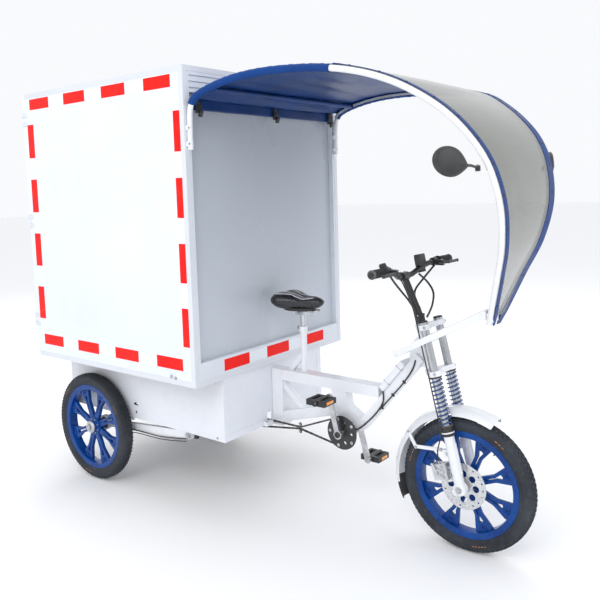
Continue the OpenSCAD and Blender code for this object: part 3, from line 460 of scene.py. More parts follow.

# Weld beads: a ripple of small overlapping drops down each side where the post meets the beam, and
# round the seat tube.


def weld_bead(name, path, body, radius=0.0028, pitch=0.0045, finish=None):
    corners, faces = [], []
    for a, b in zip(path, path[1:]):
        count = max(2, round((b - a).length / pitch))
        beads = [a + (b - a) * k / (3 * count) for k in range(3 * count + 1)]
        swell = [radius * (0.78 + 0.22 * math.cos(math.tau * k / 3))
                 for k in range(3 * count + 1)]
        shell, shell_faces = tube_shell(beads, swell, 8)
        faces += [tuple(v + len(corners) for v in f) for f in shell_faces]
        corners += shell
    return make_piece(name, corners, faces, finish or frame_paint, body, "frame_white", 60)


both_sides = ((-1, "right"), (1, "left"))
beam_low, beam_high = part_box("main_beam")
seat_low, seat_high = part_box("seat_tube")
seat_x = seat_high.x - 0.0185
tube_y = 0.0302
beam_bottom, beam_top = 0.545, 0.592
for side, label in both_sides:
    weld_bead(f"weld_post_beam_{label}",
              [Vector((beam_low.x + 0.0005, side * tube_y, z)) for z in (beam_bottom, beam_top)],
              "chassis")
seat_ring = [Vector((seat_x + 0.0155 * math.cos(a), 0.0155 * math.sin(a), beam_top + 0.001))
             for a in (math.tau * k / 24 for k in range(25))]
weld_bead("weld_seat_tube", seat_ring, "chassis", 0.0026)


# ---------------------------------------------------------- battery case
# A folded sheet-steel case on the down tube, sprayed with it, its lid held
# by two straps, with the power cable leaving at its foot.

def soft_block(name, size, edge, finish, place, body, steps=3):
    """A block with rounded edges: size in metres, set down by a matrix."""
    block = bmesh.new()
    bmesh.ops.create_cube(block, size=1)
    bmesh.ops.scale(block, vec=size, verts=block.verts)
    bmesh.ops.bevel(block, geom=block.edges[:], offset=edge, segments=steps,
                    profile=0.5, affect="EDGES")
    bmesh.ops.transform(block, matrix=place, verts=block.verts)
    mesh = bpy.data.meshes.new(name)
    block.to_mesh(mesh)
    block.free()
    piece = bpy.data.objects.new(name, mesh)
    bpy.context.collection.objects.link(piece)
    return dress(piece, finish, body, 30)


def facing(along, up, origin):
    """A matrix whose X runs along the first direction and whose Z leans up."""
    x = unit(Vector(along))
    y = unit(Vector(up).cross(x))
    z = x.cross(y)
    made = Matrix((x, y, z)).transposed().to_4x4()
    made.translation = Vector(origin)
    return made


tube_foot = Vector((front_axle.x - 0.470, 0, 0.400))
tube_head = Vector((front_axle.x - 0.186, 0, 0.738))
tube_run = unit(tube_head - tube_foot)
tube_out = unit(Vector((0, 1, 0)).cross(tube_run)) * -1
case_middle = tube_foot + tube_run * 0.294 + tube_out * 0.034
case = soft_block("battery_case_shell", (0.160, 0.076, 0.0275), 0.004, frame_paint,
                  facing(tube_run, tube_out, case_middle), "chassis")
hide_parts("battery_case")
lid_seam = Finish("case_seam")
lid_seam.surface(base_color=lid_seam.mix(lid_seam.noise(60), (0.24, 0.25, 0.27), (0.4, 0.41, 0.43)),
                 roughness=0.5)
for index, along in enumerate((-0.042, 0.046)):
    soft_block(f"case_strap_{index}", (0.009, 0.0785, 0.030), 0.002, frame_paint,
               facing(tube_run, tube_out, case_middle + tube_run * along), "chassis")
    soft_block(f"case_strap_line_{index}", (0.0016, 0.0788, 0.0302), 0.0006, lid_seam,
               facing(tube_run, tube_out, case_middle + tube_run * (along + 0.0065)),
               "chassis", 1)
power_path = smooth_path(
    [case_middle + tube_run * -0.080 + tube_out * -0.01 + Vector((0, -0.030, 0)),
     tube_foot + tube_run * 0.180 + Vector((0, -0.0285, 0)) - tube_out * 0.004,
     tube_foot + tube_run * 0.130 + Vector((0, -0.0285, 0)) - tube_out * 0.014,
     tube_foot + tube_run * 0.060 + Vector((0, -0.029, 0)) - tube_out * 0.012,
     tube_foot + tube_run * 0.005 + Vector((-0.01, -0.0305, -0.012)),
     Vector((front_axle.x - 0.505, -0.031, 0.392))], 8)
power_cable = make_piece("power_cable", *tube_shell(power_path, 0.0032, 12), black_sheath,
                         "chassis", "black_plastic")
path_length(power_path)
head_path = smooth_path(
    [tube_foot + tube_run * 0.140 + Vector((0, -0.0285, 0)) - tube_out * 0.016,
     tube_foot + tube_run * 0.230 + Vector((0, -0.029, 0)) - tube_out * 0.0185,
     tube_foot + tube_run * 0.320 + Vector((0, -0.029, 0)) - tube_out * 0.0185,
     tube_foot + tube_run * 0.385 + Vector((0, -0.0285, 0)) - tube_out * 0.010,
     tube_foot + tube_run * 0.420 + Vector((0, -0.026, 0)) + tube_out * 0.004], 8)
head_cable = make_piece("head_cable", *tube_shell(head_path, 0.0032, 12), black_sheath,
                        "chassis", "black_plastic")
path_length(head_path)
for index, along in enumerate((0.155, 0.235, 0.315)):
    soft_block(f"cable_clip_{index}", (0.006, 0.010, 0.016), 0.002, black_sheath,
               facing(tube_run, tube_out,
                      tube_foot + tube_run * along + Vector((0, -0.0285, 0)) - tube_out * 0.018),
               "chassis")


# ------------------------------------------------ casing under the cargo box
# White sheet panels with a raised border hide the chassis rails, motor and
# springs. The edges are folded, and dust gathers near the road.

casing_paint = gloss_paint("casing_paint", (0.79, 0.82, 0.88), 0.34, 0.38, 0.2, 0.22)
coat_node("chassis_casing", casing_paint)
casing_low, casing_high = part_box("chassis_casing")

black_paint = Finish("black_chassis_paint")
grime = black_paint.noise(18, 6)
black_paint.surface(
    base_color=black_paint.mix(black_paint.ramp(grime, (0.4, 0.0), (0.72, 1.0)),
                               (0.018, 0.018, 0.02), (0.07, 0.065, 0.06)),
    roughness=black_paint.ramp(grime, (0.3, 0.38), (0.75, 0.7)),
    normal=black_paint.bump(black_paint.noise(260, 3), 0.0006, 0.3),
)
coat_node("chassis_rails", black_paint)
coat_node("axle_housing", black_paint)


def bolt_head(name, centre, out, radius, finish, body, slot, height=0.006):
    """A hexagon bolt head on a washer, facing out."""
    turn = unit(Vector(out)).to_track_quat("Z", "Y").to_matrix().to_4x4()
    turn.translation = Vector(centre)
    corners, faces = [], []

    def ring(r, h, sides, phase=0.0):
        start = len(corners)
        for k in range(sides):
            a = math.tau * (k + phase) / sides
            corners.append(turn @ Vector((r * math.cos(a), r * math.sin(a), h)))
        return list(range(start, start + sides))

    washer = [ring(radius * 1.45, 0, 36), ring(radius * 1.45, height * 0.2, 36),
              ring(radius * 1.38, height * 0.27, 36), ring(radius * 1.1, height * 0.27, 36)]
    head = [ring(radius, height * 0.2, 6), ring(radius, height * 0.85, 6),
            ring(radius * 0.88, height, 6)]
    for rings in (washer, head):
        for a, b in zip(rings, rings[1:]):
            n = len(a)
            faces.extend((a[k], a[(k + 1) % n], b[(k + 1) % n], b[k]) for k in range(n))
        faces.append(tuple(rings[-1]))
    return make_piece(name, corners, faces, finish, body, slot, 25)


zinc = Finish("zinc_plate")
spangle = zinc.noise(90, 5)
zinc.surface(
    base_color=zinc.mix(zinc.ramp(spangle, (0.35, 0.0), (0.7, 1.0)),
                        (0.42, 0.43, 0.45), (0.66, 0.67, 0.68)),
    metallic=1.0,
    roughness=zinc.ramp(spangle, (0.3, 0.26), (0.75, 0.48)),
    normal=zinc.bump(zinc.noise(700, 2), 0.0003, 0.25),
)
for node in ("frame_bolts", "half_shaft_right", "half_shaft_left", "jackshaft",
             "axle_sprocket"):
    coat_node(node, zinc)
pivot = Vector(joints["rear_suspension"]["pos_m"])
for side, label in both_sides:
    bolt_head(f"pivot_bolt_{label}", (pivot.x, side * 0.3595, pivot.z), (0, side, 0),
              0.009, zinc, "chassis", "zinc", 0.007)
    for index, (x, z) in enumerate(((casing_high.x - 0.045, casing_low.z + 0.012),
                                    (casing_high.x - 0.045, casing_high.z - 0.020),
                                    (casing_low.x + 0.045, casing_high.z - 0.020),
                                    (-0.55, casing_high.z - 0.020))):
        bolt_head(f"casing_screw_{label}_{index}", (x, side * casing_high.y, z),
                  (0, side, 0), 0.0042, zinc, "chassis", "zinc", 0.0035)
tow_middle = Vector((casing_high.x + 0.012, -0.075, casing_low.z + 0.012))
soft_block("front_latch_plate", (0.024, 0.060, 0.020), 0.003, frame_paint,
           Matrix.Translation(tow_middle), "chassis")
bolt_head("front_latch_bolt", tow_middle + Vector((0.004, -0.018, 0.010)), (0, 0, 1), 0.0048,
          zinc, "chassis", "zinc", 0.005)


# -------------------------------------------------------------- cargo box
# Flat sandwich sheets bonded into an aluminium frame: white outside, with a
# pale grey front sheet set back behind the posts, and a plywood floor.

sheet_paint = Finish("white_box_sheet")
sheet_wave = sheet_paint.noise(1.6, 3)
sheet_mark = sheet_paint.ramp(sheet_paint.noise(9, 8, (1, 1, 0.35)), (0.55, 0.0), (0.82, 1.0))
sheet_paint.surface(
    base_color=sheet_paint.mix(
        sheet_mark * 0.35,
        sheet_paint.mix(sheet_paint.ramp(sheet_wave, (0.35, 0.0), (0.7, 1.0)),
                        (0.74, 0.79, 0.87), (0.79, 0.83, 0.90)),
        (0.66, 0.70, 0.77)),
    roughness=sheet_paint.ramp(sheet_mark * 0.6 + sheet_wave * 0.4, (0.2, 0.3), (0.9, 0.46)),
    normal=sheet_paint.bump(
        sheet_paint.noise(500, 2), 0.0003, 0.1,
        sheet_paint.bump(sheet_paint.noise(2.4, 2), 0.012, 0.12)),
)
for node in ("cargo_roof", "cargo_side_right", "cargo_side_left", "rear_door_right",
             "rear_door_left"):
    coat_node(node, sheet_paint)

post_paint = gloss_paint("box_post_paint", (0.72, 0.76, 0.82), 0.32, 0.2, 0.2, 0.4)
coat_node("cargo_frame", post_paint)
coat_node("door_hinges", post_paint)

grey_sheet = Finish("grey_front_sheet")
grey_cloud = grey_sheet.noise(1.3, 3, (1, 1, 0.5))
streak = grey_sheet.ramp(grey_sheet.noise(11, 7, (1, 1, 0.12)), (0.5, 0.0), (0.85, 1.0))
# painted shade: the front sheet is drawn darker towards its top, where the canopy's flap shades it
top_painted_shade = grey_sheet.ramp(grey_sheet.axis("Z") / 2, (0.32, 0.0), (0.95, 1.0))
grey_sheet.surface(
    base_color=grey_sheet.mix(
        streak * 0.3,
        grey_sheet.mix(top_painted_shade * 0.7 + grey_cloud * 0.3,
                       (0.56, 0.60, 0.66), (0.37, 0.41, 0.46)),
        (0.46, 0.50, 0.55)),
    roughness=grey_sheet.ramp(grey_cloud, (0.3, 0.22), (0.7, 0.34)),
    normal=grey_sheet.bump(grey_sheet.noise(2.0, 2), 0.015, 0.12),
)
coat_node("cargo_front_panel", grey_sheet)

plywood = Finish("floor_plywood")
ply = plywood.node("ShaderNodeTexWave", {"wave_type": "BANDS", "bands_direction": "Z"},
                   {"Vector": plywood.place((2, 2, 420)), "Scale": 1.0,
                    "Distortion": 1.5, "Detail": 3.0})
fibre = plywood.noise(30, 8, (1, 9, 9))
plywood.surface(
    base_color=plywood.mix(plywood.ramp(ply * 0.5 + fibre * 0.5, (0.3, 0.0), (0.75, 1.0)),
                           (0.20, 0.13, 0.07), (0.46, 0.33, 0.2)),
    roughness=0.62,
    normal=plywood.bump(fibre, 0.0008, 0.4),
)
coat_node("cargo_floor", plywood)

# Folded aluminium angles cover the corners of the box; the top and foot ones are riveted on.
side_low, side_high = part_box("cargo_side_right")
roof_low, roof_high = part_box("cargo_roof")
box_front, box_back = roof_high.x, side_low.x
box_half = -side_low.y
box_foot, box_top = side_low.z, roof_high.z
angle_paint = gloss_paint("corner_angle_paint", (0.70, 0.73, 0.78), 0.3, 0.2, 0.3, 0.4)


def corner_angle(name, start, end, inward_a, inward_b, width=0.022, thick=0.0012):
    """An L-section strip along an edge; the inward directions lie on its two faces."""
    a, b = Vector(inward_a), Vector(inward_b)
    start, end = Vector(start), Vector(end)
    out_a, out_b = -b * thick, -a * thick
    profile = [a * width + Vector(), a * width + out_a, out_a + out_b, b * width + out_b,
               b * width + Vector(), Vector()]
    corners = [p + q for p in (start, end) for q in profile]
    n = len(profile)
    faces = ring_faces(2, n) + [tuple(range(n - 1, -1, -1)), tuple(range(n, 2 * n))]
    return make_piece(name, corners, faces, angle_paint, "chassis", "box_frame", 30)


for side, label in both_sides:
    y = side * box_half
    corner_angle(f"corner_top_{label}", (box_back, y, box_top), (box_front, y, box_top),
                 (0, -side, 0), (0, 0, -1))
    corner_angle(f"corner_foot_{label}", (box_back, y, box_foot), (box_front, y, box_foot),
                 (0, -side, 0), (0, 0, 1))
    corner_angle(f"corner_front_{label}", (box_front, y, box_foot), (box_front, y, box_top),
                 (-1, 0, 0), (0, -side, 0), 0.0225, 0.0016)
    for row, z in (("top", box_top - 0.012), ("foot", box_foot + 0.012)):
        rivets, rivet_faces = [], []
        for k in range(8):
            centre = Vector((box_back + 0.06 + k * (box_front - box_back - 0.12) / 7,
                             y + side * 0.0012, z))
            for r, h in ((0.0032, 0), (0.0029, 0.0009), (0.0017, 0.0015)):
                for j in range(12):
                    turn = math.tau * j / 12
                    rivets.append(centre + Vector((r * math.cos(turn), side * h,
                                                   r * math.sin(turn))))
            base = k * 36
            rivet_faces += ring_faces(3, 12, base)
            rivet_faces.append(tuple(base + 24 + j for j in range(12)))
        make_piece(f"rivets_{row}_{label}", rivets, rivet_faces, angle_paint, "chassis",
                   "box_frame", 60)

# A folded white sill covers the plywood's front edge and laps up over it.
corner_angle("front_sill", (box_front, -box_half + 0.004, box_foot),
             (box_front, box_half - 0.004, box_foot), (-1, 0, 0), (0, 0, 1), 0.0205, 0.0010)
corner_angle("front_header", (box_front, -box_half + 0.004, box_top),
             (box_front, box_half - 0.004, box_top), (-1, 0, 0), (0, 0, -1), 0.0205, 0.0010)

# A black rubber seal runs round the two doors, and the door handle has a lock cylinder.
seal_rubber = moulded_black("door_seal_rubber", 0.02, 0.7, 200)
door_low, door_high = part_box("rear_door_right")
for side, label in both_sides:
    inner = 0.004
    outline = [Vector((door_high.x + 0.0006, side * y, z)) for y, z in
               ((inner, door_low.z + 0.006), (box_half - 0.012, door_low.z + 0.006),
                (box_half - 0.012, door_high.z - 0.006), (inner, door_high.z - 0.006))]
    loop = [a + (b - a) * k / 12 for a, b in zip(outline, outline[1:] + outline[:1])
            for k in range(12)]
    make_piece(f"door_seal_{label}", *tube_shell(loop, 0.0006, 8, closed=True), seal_rubber,
               f"door_{label}", "black_plastic")
handle_black = moulded_black("handle_plastic", 0.02, 0.38, 500)
grip_low, grip_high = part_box("door_handle")
handle_middle = Vector((grip_low.x + 0.0065, (grip_low.y + grip_high.y) / 2,
                        (grip_low.z + grip_high.z) / 2))
handle_grip = soft_block("door_handle_grip", (0.013, 0.028, 0.120), 0.005, handle_black,
                         Matrix.Translation(handle_middle), "door_handle", 4)
spindle = [handle_middle + Vector((x, 0, 0)) for x in (0, 0.012, 0.0125, 0.018, 0.0185, 0.034)]
make_piece("door_handle_spindle",
           *tube_shell(spindle, [0.0079, 0.0079, 0.012, 0.012, 0.0079, 0.0079], 24), zinc,
           "door_handle", "zinc", 30)
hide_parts("door_handle")
for index, (x, z) in enumerate(((-0.142, 0.031), (-0.118, 0.026))):
    bolt_head(f"side_catch_{index}", (box_front + x, -box_half - 0.0002, box_foot + z),
              (0, -1, 0), 0.0052, zinc, "chassis", "zinc", 0.006)


# --------------------------------------------------------- reflective tape
# Self-adhesive conspicuity film, 50 mm wide, in red and clear white blocks.
# Glass beads sealed under it in small cells make a faint honeycomb.

tape = Finish("reflective_film")
cells = tape.node("ShaderNodeTexVoronoi", {"feature": "DISTANCE_TO_EDGE"},
                  {"Vector": tape.place(), "Scale": 260.0, "Randomness": 0.12})
cell_edge = tape.ramp(cells, (0.0, 1.0), (0.1, 0.0))
worn = tape.ramp(tape.noise(30, 6), (0.55, 0.0), (0.8, 1.0))
sheen = tape.ramp(tape.noise(6, 3), (0.35, 0.0), (0.7, 1.0))
tape.surface(
    base_color=tape.mix(cell_edge * 0.35 + worn * 0.2,
                        tape.mix(sheen, (0.86, 0.004, 0.004), (0.92, 0.012, 0.008)),
                        (0.90, 0.07, 0.04)),
    roughness=tape.ramp(worn, (0.0, 0.28), (1.0, 0.5)),
    specular_ior_level=0.15,
    normal=tape.bump(cells, 0.0004, 0.3),
)
coat_node("reflective_tape", tape)
clear_tape = Finish("white_reflective_film")
clear_cells = clear_tape.node("ShaderNodeTexVoronoi", {"feature": "DISTANCE_TO_EDGE"},
                              {"Vector": clear_tape.place(), "Scale": 260.0,
                               "Randomness": 0.12})
clear_tape.surface(
    base_color=clear_tape.mix(clear_tape.ramp(clear_cells, (0.0, 1.0), (0.12, 0.0)) * 0.6,
                              (0.80, 0.84, 0.90), (0.70, 0.73, 0.79)),
    roughness=0.3,
    coat_weight=0.5,
    coat_roughness=0.1,
    normal=clear_tape.bump(clear_cells, 0.0004, 0.3),
)
tape_parts = []
tape_mesh = frame["nodes"]["reflective_tape"].data
film = bmesh.new()
film.from_mesh(tape_mesh)
bmesh.ops.remove_doubles(film, verts=film.verts, dist=0.00001)
seen = set()
for vertex in film.verts:
    if vertex in seen:
        continue
    group, todo = set(), [vertex]
    while todo:
        v = todo.pop()
        if v not in group:
            group.add(v)
            todo += [e.other_vert(v) for e in v.link_edges]
    seen |= group
    lo = Vector([min(v.co[k] for v in group) for k in range(3)])
    hi = Vector([max(v.co[k] for v in group) for k in range(3)])
    tape_parts.append((lo, hi))
film.free()


def tape_line(parts, axis):
    """White film between the red blocks of one line."""
    merged = []
    for lo, hi in sorted(parts, key=lambda p: p[0][axis]):
        if merged and lo[axis] < merged[-1][1][axis] + 0.001:
            merged[-1] = (Vector(map(min, merged[-1][0], lo)), Vector(map(max, merged[-1][1], hi)))
        else:
            merged.append((lo, hi))
    strips = []
    for (_, before), (after, _) in zip(merged, merged[1:]):
        lo, hi = before.copy(), after.copy()
        for k in range(3):
            if k != axis:
                lo[k], hi[k] = merged[0][0][k], merged[0][1][k]
        strips.append((lo, hi))
    return strips


lines = {}
for lo, hi in tape_parts:
    size = hi - lo
    if size.y > 0.01:
        lines.setdefault(("front", 1), []).append((lo, hi))
    elif size.x > size.z:
        lines.setdefault((lo.y > 0, round(lo.z, 2), 0), []).append((lo, hi))
    else:
        lines.setdefault((lo.y > 0, round(lo.x, 2), 2), []).append((lo, hi))
corners, faces = [], []
for key, parts in lines.items():
    for lo, hi in tape_line(parts, key[-1]):
        if (hi - lo).length < 0.02:
            continue
        start = len(corners)
        corners += [Vector((x, y, z)) for x in (lo.x, hi.x) for y in (lo.y, hi.y)
                    for z in (lo.z, hi.z)]
        faces += [tuple(start + v for v in f) for f in
                  ((0, 1, 3, 2), (4, 6, 7, 5), (0, 4, 5, 1), (2, 3, 7, 6), (0, 2, 6, 4),
                   (1, 5, 7, 3))]
make_piece("white_tape", corners, faces, clear_tape, "chassis", "sheet_white", 30)


# ------------------------------------------------------------ canopy tubes
# Two bent aluminium tubes rise from the box's front posts, run forward as
# side rails, and come down to one point ahead of the bar. Sprayed white.

rail_radius = 0.011
rail_points = [
    (-0.918, 0.502, 1.575), (-0.918, 0.502, 1.660), (-0.908, 0.502, 1.745),
    (-0.860, 0.502, 1.785), (-0.720, 0.502, 1.818), (-0.560, 0.502, 1.829),
    (-0.380, 0.502, 1.820), (-0.230, 0.498, 1.800), (-0.110, 0.458, 1.768),
    (-0.020, 0.395, 1.722), (0.075, 0.348, 1.650), (0.150, 0.318, 1.565),
    (0.200, 0.278, 1.465), (0.222, 0.236, 1.335), (0.205, 0.180, 1.200),
    (0.165, 0.118, 1.085), (0.125, 0.066, 0.970), (0.100, 0.030, 0.900),
]
rail_steps = 16
rail_path = smooth_path([Vector((front_axle.x + x, y, z)) for x, y, z in rail_points],
                        rail_steps)


def rail_at(t, side=1):
    """The point on a rail's centre line, t control points along it."""
    place = t * rail_steps
    i = min(int(place), len(rail_path) - 2)
    point = rail_path[i].lerp(rail_path[i + 1], place - i)
    return Vector((point.x, side * point.y, point.z))


rail_paint = gloss_paint("canopy_tube_paint", (0.84, 0.85, 0.87), 0.24, 0.1, 0.5, 0.5)
for side, label in both_sides:
    path = [Vector((p.x, side * p.y, p.z)) for p in rail_path[::2]]
    make_piece(f"canopy_rail_{label}", *tube_shell(path, rail_radius, 20),
                            rail_paint, "chassis", "canopy_tube")
bars = (3.4, 7.0)
for index, t in enumerate(bars):
    p = rail_at(t)
    bar_path = [Vector((p.x, y * p.y, p.z)) for y in
                [-1 + 2 * k / 16 for k in range(17)]]
    make_piece(f"canopy_cross_bar_{index}", *tube_shell(bar_path, 0.0088, 18), rail_paint,
               "chassis", "canopy_tube")
# a lug on each rail carries the upright pin that its mirror turns on
for side, label in both_sides:
    ball = Vector(joints[f"mirror_{label}_turn"]["pos_m"])
    rail_spot = Vector((ball.x + 0.026, ball.y - side * 0.036, ball.z - 0.0126))
    middle = (rail_spot + Vector((ball.x, ball.y, ball.z - 0.0126))) / 2
    along = rail_spot - Vector((ball.x, ball.y, ball.z - 0.0126))
    soft_block(f"mirror_lug_{label}", (along.length, 0.012, 0.004), 0.0012, rail_paint,
               facing(along, (0, 0, 1), middle), "chassis")
    soft_block(f"mirror_lug_pad_{label}", (0.016, 0.016, 0.004), 0.0018, rail_paint,
               Matrix.Translation((ball.x, ball.y, ball.z - 0.0126)), "chassis")
    bolt_head(f"mirror_pin_{label}", ball + Vector((0, 0, 0.0085)), (0, 0, 1), 0.0040, zinc,
              "chassis", "zinc", 0.0030)
for side, label in both_sides:
    for index, z in enumerate((1.598, 1.660)):
        soft_block(f"canopy_shoe_{label}_{index}", (0.015, 0.030, 0.020), 0.003, rail_paint,
                   Matrix.Translation((box_front + 0.0075, side * 0.502, z)), "chassis")
        bolt_head(f"canopy_shoe_bolt_{label}_{index}",
                  (box_front + 0.015, side * 0.5125, z), (1, 0, 0), 0.0032, zinc, "chassis",
                  "zinc", 0.004)
soft_block("canopy_tip_block", (0.026, 0.092, 0.034), 0.004, rail_paint,
           Matrix.Translation((front_axle.x + 0.107, 0, 0.925)), "chassis")
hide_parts("canopy_frame")


# ------------------------------------------------------------ canopy cloth
# One sheet of blue coated cloth, stretched over the rails and cross bars
# from a flap on the box's front to the windscreen, its long edges hemmed
# round the rails. It sags a little between the bars.

cloth = Finish("blue_canopy_cloth")
thread = cloth.node("ShaderNodeTexWave", {"wave_type": "BANDS", "bands_direction": "X"},
                    {"Vector": cloth.place(), "Scale": 520.0, "Distortion": 0.4})
weft = cloth.node("ShaderNodeTexWave", {"wave_type": "BANDS", "bands_direction": "Y"},
                  {"Vector": cloth.place(), "Scale": 520.0, "Distortion": 0.4})
fade = cloth.ramp(cloth.noise(3.5, 5), (0.3, 0.0), (0.75, 1.0))
rub = cloth.ramp(cloth.noise(22, 7), (0.55, 0.0), (0.85, 1.0))
cloth.surface(
    base_color=cloth.mix(
        rub * 0.25,
        cloth.mix(fade, (0.001, 0.034, 0.170), (0.002, 0.056, 0.270)),
        (0.012, 0.085, 0.30)),
    roughness=cloth.ramp(fade, (0.2, 0.42), (0.8, 0.58)),
    normal=cloth.bump(thread + weft, 0.0005, 0.35,
                      cloth.bump(cloth.noise(16, 4, (1, 0.35, 1)), 0.004, 0.25)),
    specular_ior_level=0.2,
)
cloth_under = Finish("navy_cloth_lining")
lining = cloth_under.ramp(cloth_under.noise(5, 5), (0.3, 0.0), (0.75, 1.0))
cloth_under.surface(
    base_color=cloth_under.mix(lining, (0.001, 0.024, 0.120), (0.002, 0.044, 0.200)),
    roughness=cloth_under.ramp(lining, (0.2, 0.36), (0.8, 0.5)),
    normal=cloth_under.bump(cloth_under.noise(340, 2), 0.0004, 0.4,
                            cloth_under.bump(cloth_under.noise(12, 4), 0.004, 0.3)),
    specular_ior_level=0.3,
)
cloth_from, cloth_to = 2.45, 6.98
cloth_rows, cloth_columns = 60, 40
cloth_lift = rail_radius + 0.0022


def rail_out(t):
    """Away from the rider, square to the rails, at t."""
    d = rail_at(t + 0.05) - rail_at(t - 0.05)
    return unit(Vector((-d.z, 0, d.x)))


def grid_faces(rows, columns):
    """Quads of a grid of corners, listed row by row."""
    return [(a, a + 1, a + columns + 2, a + columns + 1)
            for i in range(rows) for a in range(i * (columns + 1), i * (columns + 1) + columns)]


def cloth_point(t, across, lift=cloth_lift):
    """A point of the cloth: across runs from -1 to 1 between the rails."""
    p, n = rail_at(t), rail_out(t)
    nearest = min(abs(t - bars[0]), abs(t - bars[1]))
    sag = 0.010 * (1 - across ** 4) * min(1.0, nearest / 1.2) ** 0.8
    pucker = 0.0022 * math.sin(9 * t + 3.1 * across) * (1 - abs(across)) ** 0.5
    return Vector((p.x, across * p.y, p.z)) + n * (lift - sag + pucker)


corners = []
flap_foot, flap_head = box_top - 0.172, box_top - 0.125
flap_rows = 12
for i in range(flap_rows):
    u = i / flap_rows
    for j in range(cloth_columns + 1):
        across = -1 + 2 * j / cloth_columns
        ripple = 0.0022 * math.sin(14 * across + 2.2 * u) * (1 - u)
        top = cloth_point(cloth_from, across)
        if u < 0.55:
            v = u / 0.55
            corners.append(Vector((box_front + 0.0045 + ripple, across * 0.488,
                                   flap_foot + (flap_head - flap_foot) * v)))
        else:
            v = (u - 0.55) / 0.45
            bend = math.sin(v * math.pi / 2)
            corners.append(Vector((box_front + 0.0045 + (top.x - box_front - 0.0045)
                                   * (1 - math.cos(v * math.pi / 2)),
                                   across * (0.488 + (abs(top.y / max(abs(across), 1e-6))
                                                      - 0.488) * v if across else 0),
                                   flap_head + (top.z - flap_head) * bend)))
for i in range(cloth_rows + 1):
    t = cloth_from + (cloth_to - cloth_from) * i / cloth_rows
    for j in range(cloth_columns + 1):
        corners.append(cloth_point(t, -1 + 2 * j / cloth_columns))
rows = flap_rows + cloth_rows + 1
canopy = make_piece("canopy_cloth", corners, grid_faces(rows - 1, cloth_columns), cloth,
                    slot="canopy_cloth", sharp=180)
thick = canopy.modifiers.new("thickness", "SOLIDIFY")
thick.thickness = 0.0012
thick.offset = -1.0
canopy.data.materials.append(cloth_under.material)
thick.material_offset = 1
thick.material_offset_rim = 0
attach(canopy, "chassis")
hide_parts("canopy_fabric")
cloth_length = sum((corners[(i + 1) * (cloth_columns + 1) + 20]
                    - corners[i * (cloth_columns + 1) + 20]).length for i in range(rows - 1))

# The long hems: a doubled band of the same cloth, sewn round each rail.
for side, label in both_sides:
    corners = []
    hem_rows, hem_round = 72, 14
    for i in range(hem_rows + 1):
        t = 2.1 + (6.86 - 2.1) * i / hem_rows
        p, n = rail_at(t, side), rail_out(t)
        d = unit(rail_at(t + 0.05, side) - rail_at(t - 0.05, side))
        out = unit(n.cross(d)) * (1 if n.cross(d).y * side > 0 else -1)
        swell = 0.0012 * math.sin(t * 31) * math.sin(t * 7.3)
        for k in range(hem_round + 1):
            turn = math.radians(-62 + 284 * k / hem_round)
            corners.append(p + (rail_radius + 0.0030 + swell * math.cos(turn * 2))
                           * (math.sin(turn) * out + math.cos(turn) * n))
        inner = corners[-1]
        corners.append(inner - out * 0.006 + n * 0.001)
    hem = make_piece(f"canopy_hem_{label}", corners, grid_faces(hem_rows, hem_round + 1), cloth,
                     slot="canopy_cloth", sharp=180)
    solid = hem.modifiers.new("thickness", "SOLIDIFY")
    solid.thickness = 0.0012
    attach(hem, "chassis")
    seam = [rail_at(t, side) + rail_out(t) * (cloth_lift + 0.0013)
            - Vector((0, side * 0.019, 0))
            for t in [2.6 + (6.9 - 2.6) * k / 400 for k in range(401)]]
    stitches, stitch_faces = [], []
    for k in range(0, 398, 3):
        shell, shell_faces = tube_shell([seam[k], seam[k + 1], seam[k + 2]],
                                        [0.0003, 0.0006, 0.0003], 6)
        stitch_faces += [tuple(v + len(stitches) for v in f) for f in shell_faces]
        stitches += shell
    make_piece(f"canopy_stitches_{label}", stitches, stitch_faces, cloth_under,
                           "chassis", "canopy_cloth", 60)
# Sleeves of the lining are sewn round the two cross bars.
for index, t in enumerate(bars):
    p, n = rail_at(t), rail_out(t)
    d = unit(rail_at(t + 0.05) - rail_at(t - 0.05))
    corners = []
    for i in range(41):
        y = -1 + 2 * i / 40
        gather = 0.0005 * math.sin(23 * y) + 0.0004 * math.sin(51 * y + 1)
        for k in range(15):
            turn = math.radians(-128 + 256 * k / 14)
            r = 0.0106 + gather
            corners.append(Vector((p.x, y * (p.y - 0.014), p.z))
                           - r * math.cos(turn) * n + r * math.sin(turn) * d)
    sleeve = make_piece(f"canopy_sleeve_{index}", corners, grid_faces(40, 14), cloth_under,
                        slot="canopy_cloth", sharp=180)
    sleeve_thick = sleeve.modifiers.new("thickness", "SOLIDIFY")
    sleeve_thick.thickness = 0.0010
    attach(sleeve, "chassis")

# Three black plastic clips hook the flap to the box's front beam.
clip_black = moulded_black("clip_plastic", 0.018, 0.4, 600)
for index, y in enumerate((-0.452, 0.030, 0.452)):
    middle = Vector((box_front + 0.013, y, flap_foot + 0.008))
    soft_block(f"flap_clip_{index}", (0.012, 0.030, 0.040), 0.003, clip_black,
               Matrix.Translation(middle), "chassis")
    soft_block(f"flap_clip_lever_{index}", (0.010, 0.020, 0.026), 0.003, clip_black,
               Matrix.Translation(middle + Vector((0.008, 0.004, -0.022)))
               @ Matrix.Rotation(0.35, 4, "Y"), "chassis")
    soft_block(f"flap_clip_hook_{index}", (0.009, 0.014, 0.018), 0.0025, clip_black,
               Matrix.Translation(middle + Vector((0.005, -0.010, 0.024))), "chassis")
